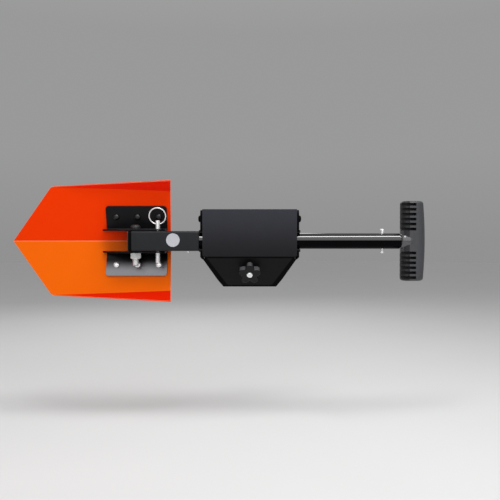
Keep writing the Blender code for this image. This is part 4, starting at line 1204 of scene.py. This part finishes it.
@dataclass
class Shaft:
    """The two shaft tubes, their bushes and the snap buttons."""

    axis: Spindle = Spindle(SHAFT, ALONG_X)
    outer_bore: float = 13.2 * MM
    inner_bore: float = 10.6 * MM
    end_edge: float = 0.6 * MM
    facets: int = 128
    snap: Vector = SHAFT + Vector((253 * MM, 0, 0))
    snap_radius: float = 3.75 * MM
    socket: Vector = SHAFT + Vector((-118 * MM, 0, 0))
    socket_radius: float = 3 * MM
    socket_start: float = 5 * MM
    reach: float = 20 * MM
    hole_facets: int = 40

    def build(self) -> None:
        """Make and dress the tubes and their fittings."""
        self.tube("outer_shaft", self.outer_bore, Body.CLAMP, [self.snap_drill(), self.socket_drill()])
        self.tube("inner_shaft", self.inner_bore, Body.HANDLE, [self.snap_drill()])
        snap, socket = (self.snap, self.snap_radius), (self.socket, self.socket_radius)
        SnapButton("snap_button_top", Body.BUTTON_TOP, ALONG_Z, *snap).build()
        SnapButton("snap_button_bottom", Body.BUTTON_BOTTOM, -ALONG_Z, *snap).build()
        SnapButton("socket_button", Body.BUTTON_SOCKET, -ALONG_Z, *socket).build()
        LeafSpring("snap_spring", Body.HANDLE, "button_top_press", "button_bottom_press").build()
        repaint(Palette.plastic, "guide_bush", "slide_bush")

    def snap_drill(self) -> BMesh:
        """What drills the holes of both snap buttons."""
        spindle = Spindle(self.snap, ALONG_Z)
        return spindle.rod(-self.reach, self.reach, self.snap_radius + GAP, self.hole_facets)

    def socket_drill(self) -> BMesh:
        """What drills the hole of the socket button, on the lower side alone."""
        spindle = Spindle(self.socket, -ALONG_Z)
        return spindle.rod(self.socket_start, self.reach, self.socket_radius + GAP, self.hole_facets)

    def tube(self, node: str, bore: float, body: Body, drills: Sequence[BMesh]) -> None:
        """One drilled tube.

        Args:
            node: the solid that it replaces.
            bore: its inner radius.
            body: what it rides on.
            drills: what its holes are cut with.
        """
        low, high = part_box(node)
        radius = (high.z - low.z) / 2
        tube = Piece(node, self.axis.tube(low.x, high.x, radius, bore, self.end_edge, self.facets))
        for drill in drills:
            tube.combine(drill)
        tube.publish(node, body, Slot.GLOSS, Palette.gloss)


@dataclass
class TeeGrip:
    """Moulded T-grip with a finned finger side and a domed socket collar."""

    axis: Spindle = Spindle(SHAFT, ALONG_X)
    depth: float = 35 * MM
    finger_x: float = 287.5 * MM
    crown: float = 3.5 * MM
    end_round: float = 5 * MM
    end_steps: int = 8
    straight: float = 0.9  # share of the length
    straight_steps: int = 9
    squareness: float = 0.8  # 1 gives an ellipse, less a squarer oval
    facets: int = 56
    slots: int = 6
    slot_width: float = 5.2 * MM
    slot_pitch: float = 9.28 * MM
    first_slot: float = 22.5 * MM
    slot_end: float = 313 * MM
    web: float = 8 * MM
    step_x: float = 300.8 * MM
    step_depth: float = 2.7 * MM
    step_start: float = 19 * MM
    step_end: float = 200 * MM
    beyond: float = 5 * MM
    collar: float = 18 * MM
    collar_front: float = 287 * MM
    collar_start: float = 12.9 * MM
    collar_length: float = 16 * MM
    collar_root: float = 3 * MM
    collar_steps: int = 12
    collar_facets: int = 96
    roundness: float = 0.7  # 1 gives a round dome, 0 a tapered one
    bore: float = 12.3 * MM
    bore_facets: int = 88
    crisp: float = 38  # degrees
    pin_hole: float = 2.8 * MM
    pin_hole_ends: Pair = (5 * MM, 30 * MM)
    pin_start: float = 8 * MM
    pin_radius: float = 2.5 * MM
    pin_head: float = 4.4 * MM
    pin_rise: float = 2.2 * MM
    pin_thread: float = 0.8 * MM

    def build(self) -> None:
        """Make and dress the grip and its cross pin."""
        grip = Piece("grip_bar", self.bar())
        grip.combine(self.axis.turned(self.collar_profile(), self.collar_facets), Join.ADD)
        self.cut_fins(grip)
        _, shaft_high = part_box("inner_shaft")
        start, end = self.finger_x - self.beyond, shaft_high.x + GAP
        grip.combine(self.axis.rod(start, end, self.bore, self.bore_facets))
        low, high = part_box("grip_pin")
        spindle = Spindle(Vector(((low.x + high.x) / 2, self.axis.origin.y, 0)), ALONG_Y)
        grip.combine(spindle.rod(*self.pin_hole_ends, self.pin_hole))
        self.mark_regions(grip.item)
        grip.publish("grip", Body.HANDLE, Slot.GRIP, Palette.grip, Palette.grip_finger_shade,
                     Palette.grip_collar, sharp=self.crisp)
        head = (self.depth / 2 + GAP, self.depth / 2 + self.pin_rise)
        pin = ButtonBolt(spindle, head, self.pin_start, self.pin_head, self.pin_radius, self.pin_thread)
        pin.publish("grip_pin", Body.HANDLE, Slot.ZINC, Palette.zinc)

    def section(self, z: float, half: float, palm_x: float) -> list[Vector]:
        """The grip's oval outline at a height.

        Args:
            z: the height.
            half: half the grip's length.
            palm_x: where its palm side is at the middle.

        Returns:
            Points round the outline.
        """
        palm = palm_x - self.crown * (abs(z) / half) ** 2
        into_end = max(0.0, abs(z) - (half - self.end_round))
        shrink = self.end_round - math.sqrt(max(0.0, self.end_round ** 2 - into_end ** 2))
        half_x = (palm - self.finger_x) / 2 - shrink
        half_y = self.depth / 2 - shrink
        middle = (palm + self.finger_x) / 2
        points = []
        for step in range(self.facets):
            angle = math.tau * step / self.facets
            c, s = math.cos(angle), math.sin(angle)
            x = middle + half_x * math.copysign(abs(c) ** self.squareness, c)
            y = self.axis.origin.y + half_y * math.copysign(abs(s) ** self.squareness, s)
            points.append(Vector((x, y, z)))
        return points

    def bar(self) -> BMesh:
        """The oval bar before its slots are cut.

        Returns:
            A closed shape.
        """
        _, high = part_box("grip")
        half = high.z
        quarter = [math.pi / 2 * step / self.end_steps for step in range(self.end_steps + 1)]
        rounds = [half - self.end_round * (1 - math.sin(angle)) for angle in quarter]
        count = self.straight_steps
        straight = [half * self.straight * (step / count - 0.5) * 2 for step in range(count + 1)]
        shape = bmesh.new()
        rings = []
        for z in sorted([-z for z in rounds] + straight + rounds):
            verts = [shape.verts.new(point) for point in self.section(z, half, high.x)]
            rings.append([shape.edges.new((verts[i - 1], verts[i])) for i in range(len(verts))])
        for below, above in zip(rings, rings[1:]):
            bmesh.ops.bridge_loops(shape, edges=below + above)
        for end in (rings[0], rings[-1]):
            bmesh.ops.contextual_create(shape, geom=end)
        bmesh.ops.recalc_face_normals(shape, faces=shape.faces)
        return shape

    def collar_profile(self) -> list[Pair]:
        """The domed collar round the shaft, which flattens out towards the bar.

        Returns:
            Points as (distance along the shaft, radius).
        """
        profile = [(self.collar_front, 0)]
        for step in range(self.collar_steps + 1):
            share = step / self.collar_steps
            angle = math.pi / 2 * share
            curve = (1 - math.cos(angle)) * self.roundness + share * (1 - self.roundness)
            rise = (self.collar - self.collar_start) * math.sin(angle)
            profile.append((self.collar_front + self.collar_length * curve, self.collar_start + rise))
        root = self.collar_front + self.collar_length + self.collar_root
        return profile + [(root, self.collar), (root, 0)]

    def side_block(self, end: float, near: float, face: int, low: float, high: float) -> BMesh:
        """A block beside the grip's middle plane that slots and steps are cut with.

        Args:
            end: how far it reaches towards the palm.
            near: its distance from the middle plane.
            face: 1 for the wall side and -1 for the front.
            low: where it begins along the grip.
            high: where it ends.

        Returns:
            The block.
        """
        start = self.finger_x - self.beyond
        inner = self.axis.origin.y + face * near
        outer = self.axis.origin.y + face * (self.depth / 2 + self.beyond)
        outline = [(start, inner), (end, inner), (end, outer), (start, outer)]
        return swept(outline, lambda x, y: Vector((x, y, low)), ALONG_Z * (high - low))

    def cut_fins(self, grip: Piece) -> None:
        """Step the finger side back, then cut the slots between the fins.

        Args:
            grip: the bar with its collar.
        """
        half, step = self.slot_width / 2, self.depth / 2 - self.step_depth
        for face in SIDES:
            for side in SIDES:
                ends = sorted((side * self.step_start, side * self.step_end))
                grip.combine(self.side_block(self.step_x, step, face, *ends))
                for index in range(self.slots):
                    z = side * (self.first_slot + index * self.slot_pitch)
                    grip.combine(self.side_block(self.slot_end, self.web / 2, face, z - half, z + half))

    def mark_regions(self, item: Object) -> None:
        """Give the finger side and the collar their own material index; the finger side's darker finish
        is painted shade.

        Args:
            item: the grip.
        """
        for face in item.data.polygons:
            middle = face.center
            off_axis = math.hypot(middle.y - self.axis.origin.y, middle.z)
            if off_axis < self.collar + CLOSE and middle.x < self.finger_x + self.collar_length:
                face.material_index = 2
            elif middle.x < self.step_x:
                face.material_index = 1


@dataclass
class WallClamp:
    """Back bracket on the wall, its liners, hinge pins and weld nut."""

    liner_edge: float = 0.4 * MM
    bracket_edge: float = 0.5 * MM
    corner_cut: tuple[Pair, ...] = ((100 * MM, -20.7 * MM), (90.6 * MM, -33.2 * MM),
                                    (87.2 * MM, -35.4 * MM), (60.3 * MM, -77.2 * MM),
                                    (100 * MM, -77.2 * MM))
    cut_start: float = -90 * MM
    cut_length: float = 100 * MM
    faces_out: float = 0.5  # how far a face has to turn out or back to count as outer
    cheek: float = 93 * MM
    ear: float = 86.7 * MM
    pin_radius: float = 3.9 * MM
    pin_head: float = 6.5 * MM
    pin_thread: float = 1.25 * MM
    pin_reach: float = 6 * MM
    rise: float = 4.5 * MM
    nut_flats: float = 13 * MM

    def build(self) -> None:
        """Make and dress the bracket and its fittings."""
        self.bracket()
        head, seat = self.cheek + GAP, self.ear - GAP
        for side, name in ((-1, "left"), (1, "right")):
            edge_broken(f"notch_liner_{name}", self.liner_edge, Body.CLAMP, Slot.RUBBER, Palette.rubber)
            spindle = Spindle(COVER_HINGE, ALONG_X * side)
            pin = ButtonBolt(spindle, (head, head + self.rise), self.ear - self.pin_reach,
                             self.pin_head, self.pin_radius, self.pin_thread)
            pin.publish(f"cover_hinge_pin_{name}", Body.CLAMP, Slot.ZINC, Palette.clamp)
            nut = HexNut(spindle, seat - self.rise, seat, self.nut_flats, self.pin_radius + GAP)
            nut.publish(f"cover_hinge_nut_{name}", Body.CLAMP, Slot.ZINC, Palette.zinc)
        repaint(Palette.zinc, "weld_nut")

    def bracket(self) -> None:
        """The folded bracket with trimmed lower corners, painted near-black on its edges and inner
        faces as painted shade.
        """
        bracket = Piece.copy("back_bracket")
        for side in SIDES:
            corner = [(side * x, z) for x, z in self.corner_cut]
            bracket.combine(swept(corner, lambda x, z: Vector((x, self.cut_start, z)),
                                  ALONG_Y * self.cut_length))
        bracket.soften(self.bracket_edge)
        # Faces that turn out sideways or back to the wall take the near-black finish: painted shade.
        for face in bracket.item.data.polygons:
            sideways = face.normal.x * math.copysign(1.0, face.center.x)
            face.material_index = 1 if max(face.normal.y, sideways) > self.faces_out else 0
        bracket.publish("back_bracket", Body.CLAMP, Slot.POWDER, Palette.clamp, Palette.powder)


@dataclass
class Tongue:
    """The slanted lower part of the cover, which the knob clamps."""

    bend: Vector = Vector((0, -67.5 * MM, -31 * MM))
    tilt: float = math.radians(32)

    @property
    def down(self) -> Vector:
        """The direction down the slope."""
        return Vector((0, math.sin(self.tilt), -math.cos(self.tilt)))

    @property
    def outwards(self) -> Vector:
        """The direction that the slope faces."""
        return Vector((0, -math.cos(self.tilt), -math.sin(self.tilt)))

    @property
    def stud(self) -> Spindle:
        """The axis of the knob's stud, from the face of the slope."""
        return Spindle(self.point(STUD_ALONG), self.outwards)

    def point(self, along: float) -> Vector:
        """A point by its distance down the slope."""
        return self.bend + self.down * along


@dataclass
class Cover:
    """Folded cover panel with its tongue, hinge ears and rubber pad."""

    tongue: Tongue
    sheet: float = 2 * MM
    half: float = 88.7 * MM
    top: float = 59.5 * MM
    chamfer: float = 5 * MM
    bend_half: float = 86.6 * MM
    relief: Pair = (79.6 * MM, 2.4 * MM)
    tongue_length: float = 63.7 * MM
    tongue_half: float = 43 * MM
    tongue_round: float = 6 * MM
    ear_low: float = 27 * MM
    ear_high: float = 57 * MM
    ear_back: float = -43 * MM
    ear_taper: float = 3 * MM
    ear_round: float = 8 * MM
    hinge_hole: float = 4.2 * MM
    hinge_reach: float = 110 * MM
    stud_hole: float = 4.5 * MM
    stud_hole_ends: Pair = (-6 * MM, 4 * MM)
    fold_round: float = 1.8 * MM
    score: float = 1.2 * MM
    rim: float = 0.45 * MM
    rim_turn: float = 75  # degrees
    round_steps: int = 2
    pad_edge: float = 0.8 * MM

    def build(self) -> None:
        """Make and dress the cover and its pad."""
        cover = Piece("cover_sheet", self.front())
        cover.thicken(self.sheet)
        # The panel's finish, then the groove's near-black and the tongue's darker finish, which are
        # painted shade.
        cover.paint(Palette.powder, Palette.clamp, Palette.tongue)
        with cover.edit() as shape:
            self.score_bend(shape)
            round_edges(shape, sharp_edges(shape, self.rim_turn), self.rim, self.round_steps)
        reach = self.hinge_reach
        cover.combine(Spindle(COVER_HINGE, ALONG_X).rod(-reach, reach, self.hinge_hole))
        cover.combine(self.tongue.stud.rod(*self.stud_hole_ends, self.stud_hole))
        cover.publish("cover", Body.COVER, Slot.POWDER)
        edge_broken("cover_pad", self.pad_edge, Body.COVER, Slot.RUBBER, Palette.rubber)

    def front(self) -> BMesh:
        """The outer faces of the panel, the tongue and the ears.

        Returns:
            An open surface that faces away from the hinge.
        """
        shape = bmesh.new()
        face_y, bend_z = self.tongue.bend.y, self.tongue.bend.z
        rows = ((self.half, self.top), (self.half, self.ear_high), (self.half, self.ear_low),
                (self.half, bend_z + self.chamfer), (self.bend_half, bend_z))
        edges = {side: [shape.verts.new((side * x, face_y, z)) for x, z in rows] for side in SIDES}
        shape.faces.new(edges[1] + edges[-1][::-1])
        inset, start = self.relief
        length, half = self.tongue_length, self.tongue_half
        outline = rounded([(inset, start), (half, length), (-half, length), (-inset, start)],
                          [0, self.tongue_round, self.tongue_round, 0])
        slope = [shape.verts.new(self.tongue.point(along) + ALONG_X * x) for x, along in outline]
        shape.faces.new([edges[-1][-1], edges[1][-1], *slope])
        back, low, high = self.ear_back, self.ear_low, self.ear_high
        taper = self.ear_taper
        corners = [(face_y, high), (face_y, low), (back, low + taper), (back, high - taper)]
        ear = rounded(corners, [0, 0, self.ear_round, self.ear_round])[2:]
        for side in SIDES:
            tip = [shape.verts.new((side * self.half, y, z)) for y, z in ear]
            shape.faces.new(edges[side][1:3] + tip)
        for face in shape.faces:
            face.normal_update()
            if face.normal.dot(face.calc_center_median() - COVER_HINGE) < 0:
                face.normal_flip()
        return shape

    def score_bend(self, shape: BMesh) -> None:
        """Press a fine groove along the bend, painted near-black as painted shade, and give the tongue
        below it its darker finish, which paints its shade.

        Args:
            shape: the cover's mesh.
        """
        bmesh.ops.remove_doubles(shape, verts=shape.verts, dist=MERGE)
        bend = [edge for edge in shape.edges if all(self.off_bend(vert) < CLOSE for vert in edge.verts)]
        fold = round_edges(shape, bend, self.fold_round, self.round_steps)
        for face in shape.faces:
            # The tongue's faces take its darker finish: painted shade.
            if face.calc_center_median().z < self.tongue.bend.z - self.fold_round:
                face.material_index = 2
        for face in fold:
            face.material_index = 1
        inwards = (ALONG_Y - self.tongue.outwards).normalized()
        for vert in shape.verts:
            if self.off_bend(vert) < self.fold_round / 2:
                vert.co += inwards * self.score

    def off_bend(self, vert: BMVert) -> float:
        """How far a point is from the line of the bend."""
        reach = vert.co - self.tongue.bend
        return math.hypot(reach.y, reach.z)


@dataclass
class StarKnob:
    """Five-lobed knob on its stud."""

    tongue: Tongue
    radius: float = 21 * MM
    lobes: int = 5
    swing: float = 0.16  # half the depth of a hollow, as a share of the radius
    fullness: float = 0.7  # less makes fuller lobes and narrower hollows
    steps_per_lobe: int = 28
    edge: float = 2.6 * MM
    edge_steps: int = 5
    base: float = 1.8 * MM
    hub: Pair = (10 * MM, 12 * MM)
    hub_rise: float = 7 * MM
    star_start: float = 5 * MM
    thickness: float = 13 * MM
    facets: int = 72
    drill: Pair = (-5 * MM, 30 * MM)
    washer_radius: float = 9 * MM
    washer_edge: float = 0.3 * MM
    stud_radius: float = 3.9 * MM
    stud_head: float = 5.7 * MM
    stud_top: float = 20.5 * MM
    stud_flat: float = 3 * MM
    stud_round: float = 2.2 * MM
    stud_steps: int = 6
    stud_thread: float = 1.25 * MM
    thread_end: float = -17 * MM
    stud_end: float = -18 * MM
    stud_chamfer: float = 1 * MM

    def build(self) -> None:
        """Make and dress the knob, stud, washer and clip."""
        self.knob()
        spindle, bore = self.tongue.stud, self.stud_radius + GAP
        washer = spindle.tube(GAP, self.base - GAP, self.washer_radius, bore, self.washer_edge)
        Piece("washer", washer).publish("knob_washer", Body.KNOB, Slot.ZINC, Palette.zinc)
        top, edge, head = self.base + self.stud_top, self.stud_round, self.stud_head
        seat = self.base + self.thickness + GAP
        profile = [(top, 0), (top, self.stud_flat)]
        profile += arc((top - edge, head - edge), edge, 0, 90, self.stud_steps)
        profile += [(seat, head), (seat, self.stud_radius)]
        profile += thread(self.base, self.thread_end, self.stud_radius, self.stud_thread)
        profile += [(self.stud_end, self.stud_radius - self.stud_chamfer), (self.stud_end, 0)]
        Piece("stud", spindle.turned(profile)).publish("clamp_stud", Body.KNOB, Slot.ZINC, Palette.zinc)
        repaint(Palette.zinc, "stud_clip")

    def outline(self) -> list[Pair]:
        """The star, by a cosine of the angle.

        Returns:
            Points round the star.
        """
        points = []
        count = self.lobes * self.steps_per_lobe
        for step in range(count):
            angle = math.tau * step / count
            wave = (1 + math.cos(self.lobes * angle)) / 2
            radius = self.radius * (1 - 2 * self.swing * (1 - wave ** self.fullness))
            points.append((radius * math.sin(angle), radius * math.cos(angle)))
        return points

    def knob(self) -> None:
        """The star on its hub, drilled for the stud and for the stud's head."""
        spindle, base = self.tongue.stud, self.base

        def on_knob(x: float, y: float) -> Vector:
            """A point of the star's back face."""
            back = spindle.axis * (base + self.star_start)
            return spindle.origin + ALONG_X * x - self.tongue.down * y + back

        star = swept(self.outline(), on_knob, spindle.axis * self.thickness)
        round_edges(star, sharp_edges(star), self.edge, self.edge_steps)
        knob = Piece("star", star)
        rise = base + self.hub_rise
        hub = [(base, 0), (base, self.hub[0]), (rise, self.hub[1]), (rise, 0)]
        knob.combine(spindle.turned(hub, self.facets), Join.ADD)
        knob.combine(spindle.rod(*self.drill, self.stud_radius + GAP))
        floor, wide = base + self.thickness, self.stud_head + GAP
        knob.combine(spindle.rod(floor, self.drill[1], wide, self.facets))
        # The knob's finish paints a highlight where it faces up.
        knob.publish("star_knob", Body.KNOB, Slot.PLASTIC, Palette.knob)


@dataclass(frozen=True)
class Lamp:
    """A soft box, with its power in watts."""

    name: str
    place: Vector
    target: Vector
    size: Pair
    power: float

    def build(self) -> None:
        """Stand the lamp in its place and point it at its target."""
        data = bpy.data.lights.new(self.name, "AREA")
        data.shape = "RECTANGLE"
        data.size, data.size_y = self.size
        data.energy = self.power
        item = linked(self.name, data)
        item.location = self.place
        item.rotation_euler = (self.target - self.place).to_track_quat("-Z", "Y").to_euler()


@dataclass
class Stage:
    """Floor, light and camera."""

    floor_z: float = -0.36
    floor_radius: float = 9.0
    floor_facets: int = 96
    horizon: float = 0.285
    backdrop: float = 0.32
    zenith: float = 0.48
    heights: tuple[float, ...] = (0.0, 0.15, 0.35, 0.75)
    image: float = 500.0  # pixels
    focal: float = 549.7  # pixels
    distance: float = 1.050
    shaft_pixel: Pair = (249.7, 241.0)
    sensor: float = 36.0  # millimetres
    lamps: tuple[Lamp, ...] = (
        Lamp("overhead", Vector((0.3, -0.55, 1.2)), Vector((0.15, -0.05, 0)), (1.3, 0.30), 16),
        Lamp("front", Vector((0.0, -1.6, 0.85)), Vector((0, -0.05, 0)), (3.2, 1.8), 22),
        Lamp("rear", Vector((-0.4, 1.5, 1.0)), Vector((0, 0, 0)), (1.6, 0.8), 8),
    )

    def build(self) -> None:
        """Set the stage around the object."""
        self.floor()
        self.world()
        for lamp in self.lamps:
            lamp.build()
        self.camera()
        bpy.context.scene.view_settings.view_transform = "Standard"

    def floor(self) -> None:
        """A wide pale floor, well below the clamp."""
        shape = bmesh.new()
        bmesh.ops.create_circle(shape, cap_ends=True, segments=self.floor_facets,
                                radius=self.floor_radius)
        bmesh.ops.translate(shape, verts=shape.verts, vec=ALONG_Z * self.floor_z)
        floor = Piece("floor", shape)
        floor.paint(Palette.floor)

    def world(self) -> None:
        """Soft light that meets the floor's tone at the horizon and is palest overhead."""
        world = bpy.data.worlds.new("studio")
        world.use_nodes = True
        bpy.context.scene.world = world
        graph = Graph(world.node_tree)
        height = graph.height(graph.node("ShaderNodeTexCoord", output="Generated"))
        tones = (self.horizon, self.backdrop, self.backdrop, self.zenith)
        stops = [(place, (tone,) * 3) for place, tone in zip(self.heights, tones)]
        tone = graph.node("ShaderNodeValToRGB", {"stops": stops}, {0: height})
        light = graph.node("ShaderNodeBackground", inputs={"Color": tone, "Strength": 1.0})
        graph.node("ShaderNodeOutputWorld", inputs={"Surface": light})

    def camera(self) -> None:
        """A camera square to the clamp that puts the shaft on its pixel of the photograph."""
        data = bpy.data.cameras.new("camera")
        data.sensor_width = self.sensor
        data.lens = self.focal / self.image * self.sensor
        across, above = [(self.image / 2 - pixel) / self.focal for pixel in self.shaft_pixel]
        item = linked("camera", data)
        item.location = SHAFT - ALONG_Y * self.distance + ALONG_X * (across * self.distance)
        item.rotation_euler = (math.pi / 2 - math.atan(above), 0, 0)
        bpy.context.scene.camera = item


def main() -> None:
    """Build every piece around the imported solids."""
    logging.basicConfig(level=logging.INFO, format="%(message)s")
    for item in list(bpy.data.objects):
        bpy.data.objects.remove(item, do_unlink=True)
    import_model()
    tongue = Tongue()
    for group in (BladeHead(), LockPin(), HingeTube(), Shaft(), TeeGrip(), WallClamp(), Cover(tongue),
                  StarKnob(tongue)):
        group.build()
    Stage().build()


if __name__ == "__main__":
    main()
